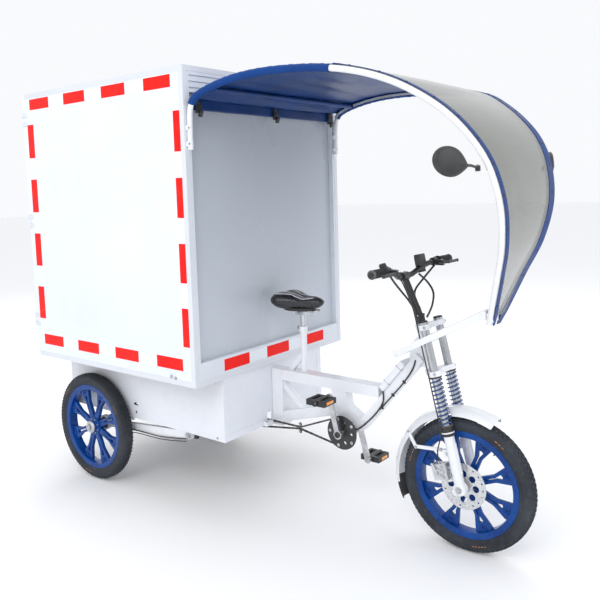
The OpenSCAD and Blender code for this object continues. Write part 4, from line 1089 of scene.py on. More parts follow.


# -------------------------------------------------------------- windscreen
# A clear sheet 3 mm thick, drawn down over the rails and held by screws
# through a blue trim along each edge. It is scuffed, and slightly smoked; its
# thin light streaks are partly scratches and partly painted highlight streaks,
# and it is drawn more opaque, so darker, towards the top.

glazing = Finish("smoked_windscreen")
scuff = glazing.ramp(glazing.noise(16, 8, (1, 1, 0.4)), (0.52, 0.0), (0.85, 1.0))
film_mist = glazing.noise(2.4, 3)
# painted highlight: thin lighter streaks, partly scratches and partly painted highlight streaks on
# the screen
scratch_and_highlight_streaks = glazing.ramp(glazing.noise(46, 2, (0.25, 1, 1.6)), (0.72, 0.0), (0.76, 1.0))
glazing.surface(
    base_color=glazing.mix(scuff * 0.5 + scratch_and_highlight_streaks * 0.4, (0.085, 0.090, 0.066),
                           (0.21, 0.22, 0.19)),
    roughness=glazing.ramp(scuff, (0.1, 0.06), (0.9, 0.22)),
    alpha=glazing.ramp(glazing.axis("Z") * 0.5 + film_mist * 0.12 + scuff * 0.1,
                       (0.62, 0.42), (0.88, 0.78)),
    coat_weight=0.6,
    coat_roughness=0.04,
    specular_ior_level=0.7,
)
screen_from, screen_to = 7.03, 16.35
screen_rows, screen_columns = 90, 28
corners = []
for i in range(screen_rows + 1):
    t = screen_from + (screen_to - screen_from) * i / screen_rows
    p, n = rail_at(t), rail_out(t)
    for j in range(screen_columns + 1):
        across = -1 + 2 * j / screen_columns
        bow = 0.004 * (1 - across * across)
        edge = p.y + 0.001 if across < 0 else p.y + 0.010
        corners.append(Vector((p.x, across * edge, p.z)) + n * (cloth_lift - 0.001 + bow))
windscreen = make_piece("windscreen_sheet", corners, grid_faces(screen_rows, screen_columns),
                        glazing, slot="screen", sharp=180)
sheet_edge = windscreen.modifiers.new("thickness", "SOLIDIFY")
sheet_edge.thickness = 0.0026
sheet_edge.offset = 0
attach(windscreen, "chassis")
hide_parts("windscreen")

trim_blue = Finish("blue_screen_trim")
trim_fade = trim_blue.ramp(trim_blue.noise(8, 5), (0.3, 0.0), (0.75, 1.0))
trim_blue.surface(
    base_color=trim_blue.mix(trim_fade, (0.001, 0.026, 0.140), (0.002, 0.046, 0.230)),
    roughness=trim_blue.ramp(trim_fade, (0.2, 0.36), (0.8, 0.52)),
    normal=trim_blue.bump(trim_blue.noise(420, 2), 0.0003, 0.3),
    specular_ior_level=0.2,
)


def edge_strip(name, side, t_from, t_to, inner, outer, low, high, finish, slot, rows=110):
    """A flat strip along a rail: how far in and out from it, and how far above."""
    corners = []
    for i in range(rows + 1):
        t = t_from + (t_to - t_from) * i / rows
        p, n = rail_at(t, side), rail_out(t)
        reach = 1.0 if p.y * side > 0.05 else max(0.25, abs(p.y) / 0.05)
        for offset, lift in ((inner, low), (inner, high), (outer, high), (outer, low)):
            corners.append(p + Vector((0, side * offset * reach, 0)) + n * lift)
    faces = ring_faces(rows + 1, 4) + [(3, 2, 1, 0), tuple(rows * 4 + k for k in range(4))]
    return make_piece(name, corners, faces, finish, "chassis", slot, 30)


trim_reach = {"right": (-0.024, 0.001), "left": (-0.042, 0.014)}
for side, label in both_sides:
    inner, outer = trim_reach[label]
    edge_strip(f"screen_trim_{label}", side, 6.9, 17.0, inner, outer, 0.0132, 0.0162,
               trim_blue, "canopy_cloth")
    if label == "left":
        edge_strip("screen_trim_lip_left", side, 6.9, 17.0, outer - 0.0016, outer, -0.012,
                   0.0160, trim_blue, "canopy_cloth")
    screws, screw_faces = [], []
    for k in range(12):
        t = 7.3 + k * 0.78
        p, n = rail_at(t, side), rail_out(t)
        d = unit(rail_at(t + 0.05, side) - rail_at(t - 0.05, side))
        y = unit(n.cross(d))
        base = p + n * 0.0160 - Vector((0, side * 0.010, 0))
        start = len(screws)
        for r, h in ((0.0042, 0.0), (0.0040, 0.0012), (0.0025, 0.0022)):
            for j in range(14):
                turn = math.tau * j / 14
                screws.append(base + d * r * math.cos(turn) + y * r * math.sin(turn) + n * h)
        screw_faces += ring_faces(3, 14, start)
        screw_faces.append(tuple(start + 28 + j for j in range(14)))
    make_piece(f"screen_screws_{label}", screws, screw_faces, clip_black, "chassis",
               "black_plastic", 50)
edge_strip("screen_top_batten_right", -1, 6.93, 7.12, -0.502, 0.0, 0.0150, 0.0172, trim_blue,
           "canopy_cloth", 6)
edge_strip("screen_top_batten_left", 1, 6.93, 7.12, -0.502, 0.0, 0.0150, 0.0172, trim_blue,
           "canopy_cloth", 6)


# ----------------------------------------------------------------- mirrors
# A black shield-shaped shell on a short stem from a ball on each rail, with
# silvered glass set into the face towards the rider.

mirror_black = moulded_black("mirror_shell_plastic", 0.018, 0.36, 700)
silvered = Finish("silvered_glass")
smear = silvered.ramp(silvered.noise(20, 6), (0.5, 0.0), (0.85, 1.0))
silvered.surface(base_color=silvered.mix(smear * 0.3, (0.80, 0.82, 0.85), (0.62, 0.64, 0.66)),
                 metallic=1.0, roughness=silvered.ramp(smear, (0.1, 0.03), (0.9, 0.16)))


def shield_outline(scale, steps=48):
    """Outline of the shell: round, with one corner drawn out to the stem."""
    points = []
    for k in range(steps):
        turn = math.tau * k / steps
        y, x = math.cos(turn), math.sin(turn)
        pull = max(0.0, y) ** 3
        length = 0.072 if y > 0 else 0.060
        width = 0.044 * (1 - 0.62 * pull)
        points.append((scale * width * x * 1.02, scale * length * y))
    return points


def turned(name, centre, axis, profile, sides, finish, body, slot, sharp=35):
    """A turned part: (distance along the axis, radius) pairs, closed by end caps."""
    out = unit(Vector(axis))
    side = unit(out.orthogonal())
    over = out.cross(side)
    corners = [Vector(centre) + out * h + r * (math.cos(a) * side + math.sin(a) * over)
               for h, r in profile for a in (math.tau * k / sides for k in range(sides))]
    faces = ring_faces(len(profile), sides)
    faces.append(tuple(range(sides - 1, -1, -1)))
    faces.append(tuple((len(profile) - 1) * sides + k for k in range(sides)))
    return make_piece(name, corners, faces, finish, body, slot, sharp)


for side, label in both_sides:
    ball = Vector(joints[f"mirror_{label}_turn"]["pos_m"])
    flip = Matrix.Diagonal((1, -side, 1, 1))
    place = (Matrix.Translation(ball) @ flip @ Matrix.Translation((-0.024, -0.153, 0.020))
             @ Matrix.Rotation(math.radians(-25), 4, "Z")
             @ Matrix.Rotation(math.radians(-12), 4, "X"))
    corners = []
    depths = ((1.0, -0.0075), (1.03, -0.004), (1.03, 0.0), (0.97, 0.0045), (0.8, 0.0078),
              (0.5, 0.0092), (0.2, 0.0098))
    for scale, x in depths:
        corners += [place @ Vector((x, b, -a)) for a, b in shield_outline(scale)]
    n = 48
    faces = ring_faces(len(depths), n)
    faces.append(tuple((len(depths) - 1) * n + k for k in range(n)))
    faces.append(tuple(range(n - 1, -1, -1)))
    shell = make_piece(f"mirror_shell_{label}", corners, faces, mirror_black,
                       f"mirror_{label}", "black_plastic", 60)
    glass = [place @ Vector((x, b, -a)) for s, x in ((0.93, -0.0076), (0.93, -0.0088),
                                                    (0.90, -0.0092))
             for a, b in shield_outline(s)]
    glass_faces = ring_faces(3, n) + [tuple(2 * n + k for k in range(n))]
    make_piece(f"mirror_glass_{label}", glass, glass_faces, silvered, f"mirror_{label}",
               "black_plastic", 40)
    stem_end = place @ Vector((0, 0.060, 0))
    stem = smooth_path([ball, ball.lerp(stem_end, 0.5) + Vector((0, 0, 0.003)),
                        stem_end], 8)
    make_piece(f"mirror_stem_{label}",
               *tube_shell(stem, [0.0042 + 0.0018 * (k / 16) ** 2 for k in range(17)], 14),
               mirror_black, f"mirror_{label}", "black_plastic")
    turned(f"mirror_boss_{label}", ball, (0, 0, 1),
           ((-0.0100, 0.0060), (-0.0094, 0.0078), (-0.0080, 0.0085), (0.0060, 0.0085),
            (0.0074, 0.0078), (0.0080, 0.0060)), 28, mirror_black, f"mirror_{label}",
           "black_plastic", 40)
    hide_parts(f"mirror_{label}")


# --------------------------------------------------------- rear suspension
# Two steel arms swing on the chassis and carry the axle; a black coil
# spring stands between each arm's seat and the rail above it.

coat_node("swing_arms", frame_paint)
rear_low, rear_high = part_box("rear_tyre_right")
rear_axle = Vector(((rear_low.x + rear_high.x) / 2, 0, (rear_low.z + rear_high.z) / 2))
arm_pivot = Vector(joints["rear_suspension"]["pos_m"])
spring_foot, spring_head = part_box("rear_springs")
spring_black = gloss_paint("spring_enamel", (0.016, 0.016, 0.018), 0.28, 0.2, 0.4, 0.35)


def coil_path(foot, head, radius, turns, steps=28):
    """Centre line of a spring whose end turns close up flat."""
    along = head - foot
    side = unit(along.orthogonal())
    over = unit(along).cross(side)
    path = []
    for k in range(turns * steps + 1):
        u = k / (turns * steps)
        ends = 0.5 / turns
        if u < ends:
            rise = u * 0.35
        elif u > 1 - ends:
            rise = 1 - (1 - u) * 0.35
        else:
            rise = ends * 0.35 + (u - ends) * (1 - 0.7 * ends) / (1 - 2 * ends)
        turn = math.tau * turns * u
        path.append(foot + along * rise
                    + radius * (math.cos(turn) * side + math.sin(turn) * over))
    return path


for side, label in both_sides:
    centre = Vector(((spring_foot.x + spring_head.x) / 2, side * 0.262, 0))
    foot = centre + Vector((0, 0, spring_foot.z + 0.0045))
    head = centre + Vector((0, 0, spring_head.z - 0.0045))
    spring = make_piece(f"rear_spring_{label}",
                        *tube_shell(coil_path(foot, head, 0.026, 7), 0.0048, 12),
                        spring_black, "chassis", "spring_black", 60)
    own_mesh(spring)
    if side < 0:
        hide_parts("rear_springs")
    bolt_head(f"spring_seat_bolt_{label}", centre + Vector((0, 0, spring_foot.z)), (0, 0, 1),
              0.008, zinc, "rear_axle", "zinc", 0.009)
    bolt_head(f"arm_pivot_cap_{label}", (arm_pivot.x, side * 0.3505, arm_pivot.z),
              (0, side, 0), 0.013, zinc, "rear_axle", "zinc", 0.008)

# The hub motor's case: cooling fins, cover screws, and its lead.
motor_paint = gloss_paint("motor_case_paint", (0.02, 0.02, 0.022), 0.45, 0.25, 0.15, 0.4)
motor_centre = Vector((rear_axle.x + 0.116, 0, rear_axle.z + 0.010))
for k in range(11):
    y = 0.032 + 0.014 * k
    corners = []
    for i in range(41):
        turn = math.radians(-120 + 240 * i / 40)
        for r, shift in ((0.0515, -0.0016), (0.0585, -0.0009), (0.0585, 0.0009),
                         (0.0515, 0.0016)):
            corners.append(motor_centre + Vector((r * math.cos(turn), y + shift,
                                                  r * math.sin(turn))))
    faces = ring_faces(41, 4) + [(3, 2, 1, 0), (160, 161, 162, 163)]
    make_piece(f"motor_fin_{k:02d}", corners, faces, motor_paint, "rear_axle", "cast_dark", 30)
for k in range(6):
    turn = math.tau * k / 6 + 0.3
    bolt_head(f"motor_cover_screw_{k}",
              motor_centre + Vector((0.042 * math.cos(turn), 0.190, 0.042 * math.sin(turn))),
              (0, 1, 0), 0.0045, zinc, "rear_axle", "zinc", 0.005)
for k in range(8):
    turn = math.tau * k / 8
    bolt_head(f"differential_screw_{k}",
              rear_axle + Vector((0.062 * math.cos(turn), 0.008, 0.062 * math.sin(turn))),
              (0, -1, 0), 0.0045, zinc, "rear_axle", "zinc", 0.005)
lead_path = smooth_path([
    motor_centre + Vector((0.030, 0.186, 0.030)), motor_centre + Vector((0.060, 0.205, 0.050)),
    motor_centre + Vector((0.105, 0.215, 0.070)), motor_centre + Vector((0.175, 0.225, 0.075)),
    Vector((arm_pivot.x - 0.140, 0.255, arm_pivot.z - 0.010)),
    Vector((arm_pivot.x - 0.060, 0.315, arm_pivot.z + 0.008)),
], 10)
motor_lead = make_piece("motor_lead", *tube_shell(lead_path, 0.0045, 12), black_sheath,
                        "rear_axle", "black_plastic")
path_length(lead_path)

# A brake wire and a lamp wire run along the right arm, tied to it.
for index, (drop, thick) in enumerate(((0.016, 0.0026), (0.028, 0.0021))):
    a, b = Vector((arm_pivot.x + 0.010, 0, arm_pivot.z)), Vector((rear_axle.x, 0, rear_axle.z))
    wire_path = smooth_path([a.lerp(b, u) + Vector((0, y, -drop + lift)) for u, y, lift in (
        (0.04, -0.353, 0), (0.3, -0.354, -0.008), (0.6, -0.353, 0.002), (0.84, -0.353, -0.004))],
        10)
    wire = make_piece(f"arm_wire_{index}", *tube_shell(wire_path, thick, 10), black_sheath,
                      "rear_axle", "black_plastic")
    path_length(wire_path)
    2 * thick


# ----------------------------------------------------------------- chains
# Half-inch roller chain of oiled steel plates: one from the cranks to the
# cross shaft, over two rollers, and one from that shaft to the axle.

oiled_steel = Finish("oiled_chain_steel")
chain_film = oiled_steel.ramp(oiled_steel.noise(60, 5), (0.35, 0.0), (0.7, 1.0))
oiled_steel.surface(
    base_color=oiled_steel.mix(chain_film, (0.035, 0.032, 0.030), (0.16, 0.15, 0.14)),
    metallic=0.9,
    roughness=oiled_steel.ramp(chain_film, (0.2, 0.28), (0.8, 0.5)),
    normal=oiled_steel.bump(oiled_steel.noise(500, 2), 0.0002, 0.4),
)


def belt_points(wheels, pitch):
    """Points at one pitch round wheels (centre, radius, sense), joined by tangents."""
    count = len(wheels)
    legs = []
    for i in range(count):
        (a, ra, sa), (b, rb, sb) = wheels[i], wheels[(i + 1) % count]
        v = b - a
        d = v.length
        lean = math.atan2(v.y, v.x)
        spread = math.acos(max(-1.0, min(1.0, (sa * ra - sb * rb) / d)))
        turn = lean - spread
        normal = Vector((math.cos(turn), math.sin(turn)))
        legs.append((a + normal * (sa * ra), b + normal * (sb * rb)))
    line = []
    for i in range(count):
        centre, radius, sense = wheels[i]
        start, end = legs[i - 1][1], legs[i][0]
        a0 = math.atan2(start.y - centre.y, start.x - centre.x)
        a1 = math.atan2(end.y - centre.y, end.x - centre.x)
        sweep = (a1 - a0) % (math.tau) if sense > 0 else -((a0 - a1) % (math.tau))
        if abs(abs(sweep) - math.tau) < 1e-6:
            sweep = 0
        steps = max(2, int(abs(sweep) / 0.06))
        line += [centre + radius * Vector((math.cos(a0 + sweep * k / steps),
                                           math.sin(a0 + sweep * k / steps)))
                 for k in range(steps + 1)]
    closed = line + [line[0]]
    total = sum((b - a).length for a, b in zip(closed, closed[1:]))
    number = 2 * round(total / pitch / 2)
    step, walked, result, index = total / number, 0.0, [], 0
    for k in range(number):
        target = k * step
        while walked + (closed[index + 1] - closed[index]).length < target:
            walked += (closed[index + 1] - closed[index]).length
            index += 1
        piece = closed[index + 1] - closed[index]
        result.append(closed[index] + piece * ((target - walked) / max(piece.length, 1e-9)))
    return result


def chain_links(name, points, y, body, node):
    """Alternate inner and outer plates with a roller at each joint."""
    corners, faces = [], []

    def slab(centre_a, centre_b, offset, thick, height):
        along = unit(centre_b - centre_a)
        up = Vector((-along.y, along.x))
        length = (centre_b - centre_a).length
        outline = []
        for k in range(9):
            turn = math.pi / 2 + math.pi * k / 8
            outline.append((height * math.cos(turn), height * math.sin(turn)))
        outline.append((length / 2, -height * 0.72))
        for k in range(9):
            turn = -math.pi / 2 + math.pi * k / 8
            outline.append((length + height * math.cos(turn), height * math.sin(turn)))
        outline.append((length / 2, height * 0.72))
        start, n = len(corners), len(outline)
        for shift in (-thick / 2, thick / 2):
            for u, v in outline:
                p = centre_a + along * u + up * v
                corners.append(Vector((p.x, y + offset + shift, p.y)))
        faces.extend(ring_faces(2, n, start))
        faces.append(tuple(start + k for k in reversed(range(n))))
        faces.append(tuple(start + n + k for k in range(n)))

    def roller(centre, radius, half):
        start, n = len(corners), 12
        for shift in (-half, half):
            for k in range(n):
                turn = math.tau * k / n
                corners.append(Vector((centre.x + radius * math.cos(turn), y + shift,
                                       centre.y + radius * math.sin(turn))))
        faces.extend(ring_faces(2, n, start))
        faces.append(tuple(start + k for k in reversed(range(n))))
        faces.append(tuple(start + n + k for k in range(n)))

    for k, point in enumerate(points):
        after = points[(k + 1) % len(points)]
        offset = 0.0031 if k % 2 else 0.0021
        for sign in (-1, 1):
            slab(point, after, sign * offset, 0.0009, 0.0039)
        roller(point, 0.0037, 0.0017)
        roller(point, 0.0017, 0.0039)
    links = make_piece(name, corners, faces, oiled_steel, body, "chain", 35)
    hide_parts(node)
    return links


def flat(point):
    return Vector((point[0], point[2]))


ring_low, ring_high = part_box("chainring")
bottom_bracket = (ring_low + ring_high) / 2
chain_low, chain_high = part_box("pedal_chain")
chain_y = (chain_low.y + chain_high.y) / 2
roller_x = front_axle.x - 0.762
chain_links("pedal_chain_links", belt_points([
    (flat(bottom_bracket), 0.065, 1), (Vector((roller_x, 0.350 + 0.0165)), 0.0125, -1),
    (flat(arm_pivot), 0.033, 1), (Vector((roller_x, 0.350 - 0.0165)), 0.0125, -1),
], 0.0127), chain_y, "chassis", "pedal_chain")
final_low, final_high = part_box("axle_chain")
final_y = (final_low.y + final_high.y) / 2
chain_links("axle_chain_links", belt_points([
    (flat(arm_pivot), 0.033, 1), (flat(rear_axle), 0.041, 1),
], 0.0127), final_y, "rear_axle", "axle_chain")

# The two tensioner rollers, on a bracket from the battery rail.
roller_plastic = moulded_black("roller_plastic", 0.02, 0.42, 500)
for index, lift in enumerate((0.0165, -0.0165)):
    spot = Vector((roller_x, chain_y, 0.350 + lift))
    turned(f"tension_roller_{index}", spot, (0, 1, 0),
           ((-0.0016, 0.0040), (-0.0016, 0.0082), (0.0016, 0.0082), (0.0016, 0.0040)), 24,
           roller_plastic, "chassis", "black_plastic")
    bolt_head(f"tension_bolt_{index}", spot + Vector((0, -0.0045, 0)), (0, -1, 0), 0.0040,
              zinc, "chassis", "zinc", 0.004)


# ---------------------------------------------------- cranks and chainring
# Cast alloy cranks, polished by shoes; a black steel ring with cut teeth
# and a guard outside it, both bolted to the right crank's boss.

cast_alloy = Finish("polished_crank_alloy")
worn_alloy = cast_alloy.ramp(cast_alloy.noise(30, 6), (0.35, 0.0), (0.75, 1.0))
alloy_scuff = cast_alloy.ramp(cast_alloy.noise(90, 3, (0.3, 1, 1)), (0.62, 0.0), (0.75, 1.0))
cast_alloy.surface(
    base_color=cast_alloy.mix(worn_alloy, (0.42, 0.43, 0.45), (0.66, 0.67, 0.69)),
    metallic=0.9,
    roughness=cast_alloy.ramp(worn_alloy * 0.6 + alloy_scuff * 0.4, (0.1, 0.2), (0.8, 0.46)),
    normal=cast_alloy.bump(alloy_scuff, 0.0002, 0.4),
)
coat_node("crank_arms", cast_alloy)
ring_black = gloss_paint("chainring_black", (0.02, 0.02, 0.022), 0.36, 0.15, 0.25, 0.4)
coat_node("chainring", ring_black)
teeth, tooth_faces = [], []
tooth_count = 32
for k in range(tooth_count):
    turn = math.tau * (k + 0.5) / tooth_count
    start = len(teeth)
    for shift in (-0.0012, 0.0012):
        for r, swing in ((0.0585, -0.055), (0.0655, -0.028), (0.0685, -0.010),
                         (0.0685, 0.010), (0.0655, 0.028), (0.0585, 0.055)):
            a = turn + swing
            teeth.append(bottom_bracket - Vector((0, bottom_bracket.y - chain_y, 0))
                         + Vector((r * math.cos(a), shift, r * math.sin(a))))
    tooth_faces += ring_faces(2, 6, start)
    tooth_faces += [tuple(start + 5 - j for j in range(6)), tuple(start + 6 + j for j in range(6))]
make_piece("chainring_teeth", teeth, tooth_faces, ring_black, "crankset", "cast_dark", 30)
guard_y = ring_low.y
for k in range(5):
    turn = math.tau * (k + 0.5) / 5
    bolt_head(f"chainring_bolt_{k}",
              Vector((bottom_bracket.x + 0.060 * math.cos(turn), guard_y,
                      bottom_bracket.z + 0.060 * math.sin(turn))),
              (0, -1, 0), 0.0048, zinc, "crankset", "zinc", 0.0028)
for side, label, y in ((-1, "right", -0.0982), (1, "left", 0.0802)):
    turned(f"crank_cap_{label}", (bottom_bracket.x, y, bottom_bracket.z), (0, side, 0),
           ((-0.002, 0.0130), (0.0030, 0.0130), (0.0048, 0.0112), (0.0052, 0.0040),
            (0.0032, 0.0030)), 30, roller_plastic, "crankset", "black_plastic")


# ------------------------------------------------------------------ pedals
# Black plastic treads on a steel pin, ridged for grip, with an orange
# reflector set in each end.

pedal_black = moulded_black("pedal_plastic", 0.02, 0.48, 500)
reflector = Finish("orange_reflector")
prism = reflector.node("ShaderNodeTexVoronoi", {"distance": "CHEBYCHEV"},
                       {"Vector": reflector.place(), "Scale": 420.0})
reflector.surface(
    base_color=reflector.mix(reflector.ramp(prism, (0.1, 0.0), (0.6, 1.0)),
                             (0.85, 0.20, 0.01), (0.95, 0.42, 0.06)),
    roughness=reflector.ramp(reflector.noise(60, 3), (0.3, 0.10), (0.8, 0.24)),
    normal=reflector.bump(prism, 0.0006, 0.8),
    coat_weight=0.8,
)
for label, sign in (("right", -1), ("left", 1)):
    coat_node(f"pedal_{label}", pedal_black)
    low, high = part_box(f"pedal_{label}")
    middle = (low + high) / 2
    pin = Vector(joints[f"pedal_{label}_spin"]["pos_m"])
    width = high.y - low.y
    for end in (-1, 1):
        soft_block(f"pedal_reflector_{label}_{'front' if end > 0 else 'back'}",
                   (0.0032, 0.046, 0.0125), 0.0012, reflector,
                   Matrix.Translation((pin.x + end * 0.0465, middle.y, pin.z)),
                   f"pedal_{label}")
    nubs, nub_faces = [], []
    for top in (-1, 1):
        for row in range(7):
            for line in (-1, 1):
                spot = Vector((pin.x + line * 0.034, low.y + 0.012 + row * (width - 0.024) / 6,
                               pin.z + top * 0.0118))
                start = len(nubs)
                for h, r in ((0.0, 0.0042), (0.0018, 0.0034), (0.0024, 0.0018)):
                    nubs += [spot + Vector((r * math.cos(a), r * math.sin(a), top * h))
                             for a in (math.pi / 4 + math.pi / 4 * k for k in range(8))]
                for r in (0, 1):
                    nub_faces += [(start + r * 8 + k, start + r * 8 + (k + 1) % 8,
                                   start + r * 8 + 8 + (k + 1) % 8, start + r * 8 + 8 + k)
                                  for k in range(8)]
                nub_faces.append(tuple(start + 16 + k for k in range(8)))
    make_piece(f"pedal_nubs_{label}", nubs, nub_faces, pedal_black, f"pedal_{label}",
               "black_plastic", 50)
    turned(f"pedal_nut_{label}", (pin.x, pin.y + sign * 0.0, pin.z), (0, sign, 0),
           ((0.0, 0.001), (0.0005, 0.0075), (0.004, 0.0075), (0.005, 0.0060)), 6, zinc,
           f"pedal_{label}", "zinc")


# --------------------------------------------------------------------- fork
# A sprung fork: chromed steel tubes in two painted crowns, white alloy
# sliders, blue coil springs between black seats, and rubber gaiters.

chrome = Finish("chromed_tube")
haze = chrome.ramp(chrome.noise(24, 6), (0.4, 0.0), (0.8, 1.0))
chrome.surface(base_color=chrome.mix(haze, (0.50, 0.51, 0.53), (0.36, 0.37, 0.39)),
               metallic=1.0, roughness=chrome.ramp(haze, (0.1, 0.08), (0.9, 0.24)))
coat_node("stanchions", chrome)
slider_paint = gloss_paint("slider_paint", (0.80, 0.82, 0.85), 0.26, 0.14, 0.5, 0.5)
coat_node("fork_sliders", slider_paint)
leg_y = 0.062
spring_paint = gloss_paint("fork_spring_blue", (0.020, 0.072, 0.25), 0.24, 0.15, 0.5, 0.35)
seal_black = moulded_black("fork_seal_rubber", 0.016, 0.45, 500)


def on_fork(ahead, side, up):
    """A point given along the fork's own axes from the front axle."""
    return front_axle + fork_ahead * ahead + Vector((0, side, 0)) + fork_up * up


for side, label in both_sides:
    foot, head = on_fork(0, side * leg_y, 0.2465), on_fork(0, side * leg_y, 0.4290)
    spring = make_piece(f"fork_spring_{label}",
                        *tube_shell(coil_path(foot, head, 0.0213, 12, 24), 0.0028, 10),
                        spring_paint, "steering", "spring_blue", 60)
    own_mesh(spring)
    if side < 0:
        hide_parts("fork_springs")
    for place, name, profile in (
        (on_fork(0, side * leg_y, 0.2120), "seat",
         ((-0.010, 0.0203), (-0.004, 0.0248), (0.018, 0.0252), (0.026, 0.0248),
          (0.0308, 0.0243), (0.0313, 0.0175))),
        (on_fork(0, side * leg_y, 0.2120), "ring",
         ((0.0020, 0.0250), (0.0025, 0.0258), (0.0070, 0.0258), (0.0075, 0.0250))),
    ):
        turned(f"fork_{name}_{label}", place, fork_up, profile, 40,
               seal_black if name == "seat" else slider_paint, "fork_lower",
               "black_plastic" if name == "seat" else "frame_white")
    turned(f"fork_top_seat_{label}", on_fork(0, side * leg_y, 0.4318), -fork_up,
           ((-0.0003, 0.0170), (0.0, 0.0250), (0.0030, 0.0252), (0.0060, 0.0240),
            (0.0065, 0.0170)), 40, seal_black, "steering", "black_plastic")
    turned(f"fork_cap_{label}", on_fork(0, side * leg_y, 0.6395), fork_up,
           ((-0.002, 0.0180), (0.0025, 0.0186), (0.0065, 0.0170), (0.0075, 0.0120),
            (0.0076, 0.0080), (0.0045, 0.0075)), 36, seal_black, "steering", "black_plastic")
    for k, up in enumerate((0.442, 0.622)):
        bolt_head(f"crown_bolt_{label}_{k}", on_fork(0.012, side * (leg_y + 0.0245), up),
                  (0, side, 0), 0.0042, zinc, "steering", "zinc", 0.005)
    # the axle's nut and washer outside each leg
    turned(f"front_axle_washer_{label}", front_axle + Vector((0, side * 0.0812, 0)),
           (0, side, 0), ((0.0, 0.0065), (0.0004, 0.0105), (0.0018, 0.0105), (0.0020, 0.0065)),
           36, zinc, "fork_lower", "zinc")
    bolt_head(f"front_axle_nut_{label}", front_axle + Vector((0, side * 0.0830, 0)),
              (0, side, 0), 0.0088, zinc, "fork_lower", "zinc", 0.007)
    # a rib down the front of each slider, and the drop-out's pinch bolt
    soft_block(f"slider_rib_{label}", (0.006, 0.011, 0.120), 0.0025, slider_paint,
               Matrix.Translation(on_fork(0.0195, side * leg_y, 0.115))
               @ Matrix((fork_ahead, Vector((0, 1, 0)), fork_up)).transposed().to_4x4(),
               "fork_lower")
    bolt_head(f"slider_foot_bolt_{label}", on_fork(0.0, side * leg_y, -0.0178), -fork_up,
              0.0060, zinc, "fork_lower", "zinc", 0.006)


# ----------------------------------------------------------- front mudguard
# Pressed steel, sprayed white, with a rolled edge, a rubber flap at
# the back, and flat stays bolted to lugs on the sliders.

coat_node("front_fender", slider_paint)
edge_rubber = moulded_black("fender_edge_rubber", 0.018, 0.5, 500)
fender_middle, fender_shell = 0.250, 0.0540
fender_edge = math.sqrt(fender_shell ** 2 - (0.273 - fender_middle) ** 2)
for side, label in both_sides:
    rims = []
    for start, end in ((66, 77), (104, 189)):
        rims.append([front_axle + Vector((0.2725 * math.cos(math.radians(a)),
                                          side * (fender_edge - 0.0010),
                                          0.2725 * math.sin(math.radians(a))))
                     for a in (start + (end - start) * k / 60 for k in range(61))])
    for index, path in enumerate(rims):
        make_piece(f"fender_edge_{label}_{index}", *tube_shell(path, 0.0021, 10),
                   slider_paint, "fork_lower", "frame_white")
flap_corners, flap_faces = [], []
for i in range(9):
    a = math.radians(187 + 17 * i / 8)
    for j in range(17):
        y = -1 + 2 * j / 16
        r = fender_middle + 0.0505 * math.sqrt(max(0.0, 1 - (y * 0.80) ** 2)) - 0.001
        flap_corners.append(front_axle + Vector((r * math.cos(a), y * 0.0415 * (1 - 0.02 * i),
                                                 r * math.sin(a))))
for i in range(8):
    for j in range(16):
        flap_faces.append((i * 17 + j, i * 17 + j + 1, i * 17 + j + 18, i * 17 + j + 17))
rubber_flap = make_piece("fender_rubber_flap", flap_corners, flap_faces, edge_rubber,
                         slot="tyre", sharp=180)
flap_thick = rubber_flap.modifiers.new("thickness", "SOLIDIFY")
flap_thick.thickness = 0.0025
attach(rubber_flap, "fork_lower")
for side, label in both_sides:
    for index, (x, y, z) in enumerate(((-0.226, 0.0522, 0.176), (-0.1915, 0.0545, 0.119),
                                       (-0.078, 0.0620, 0.1345))):
        bolt_head(f"stay_bolt_{label}_{index}", front_axle + Vector((x, side * y, z)),
                  (0, side, 0), 0.0042, zinc, "fork_lower", "zinc", 0.0045)
    lug_spot = on_fork(-0.018, side * (leg_y + 0.0072), 0.135)
    bolt_head(f"fender_lug_bolt_{label}", lug_spot, (0, side, 0), 0.0058, zinc, "fork_lower",
              "zinc", 0.006)


# ------------------------------------------------------------ brake caliper
# A cast alloy caliper pulled by the cable, its pads either side of the
# disc, bolted through slots to the right slider.

cast_silver = Finish("cast_silver_alloy")
sand = cast_silver.noise(260, 3)
cast_cloud = cast_silver.ramp(cast_silver.noise(26, 5), (0.35, 0.0), (0.75, 1.0))
cast_silver.surface(
    base_color=cast_silver.mix(cast_cloud, (0.50, 0.51, 0.53), (0.68, 0.69, 0.71)),
    metallic=0.7,
    roughness=cast_silver.ramp(cast_cloud, (0.2, 0.34), (0.8, 0.5)),
    normal=cast_silver.bump(sand, 0.0006, 0.5),
)
coat_node("brake_caliper", cast_silver)
fork_turn = Matrix((fork_ahead, Vector((0, 1, 0)), fork_up)).transposed().to_4x4()
for index, (ahead, up) in enumerate(((-0.064, 0.042), (-0.064, 0.080))):
    bolt_head(f"caliper_bolt_{index}", on_fork(ahead, -0.0572, up), (0, -1, 0), 0.0052, zinc,
              "fork_lower", "zinc", 0.005)
soft_block("caliper_rib", (0.040, 0.005, 0.013), 0.002, cast_silver,
           Matrix.Translation(on_fork(-0.078, -0.0592, 0.061)) @ fork_turn, "fork_lower")
turned("caliper_piston_cap", on_fork(-0.082, -0.0565, 0.061), (0, -1, 0),
       ((0.0, 0.0150), (0.0045, 0.0150), (0.0065, 0.0138), (0.0070, 0.0075),
        (0.0052, 0.0070)), 36, cast_silver, "fork_lower", "alloy")
soft_block("caliper_arm", (0.010, 0.006, 0.044), 0.0025, cast_silver,
           Matrix.Translation(on_fork(-0.0925, -0.0640, 0.078)) @ fork_turn
           @ Matrix.Rotation(-0.35, 4, "Y"), "fork_lower")
turned("cable_stop", cable_path[-1] - fork_up * 0.004, fork_up,
       ((-0.006, 0.0040), (0.0, 0.0052), (0.012, 0.0052), (0.015, 0.0038)), 20, zinc,
       "fork_lower", "zinc")
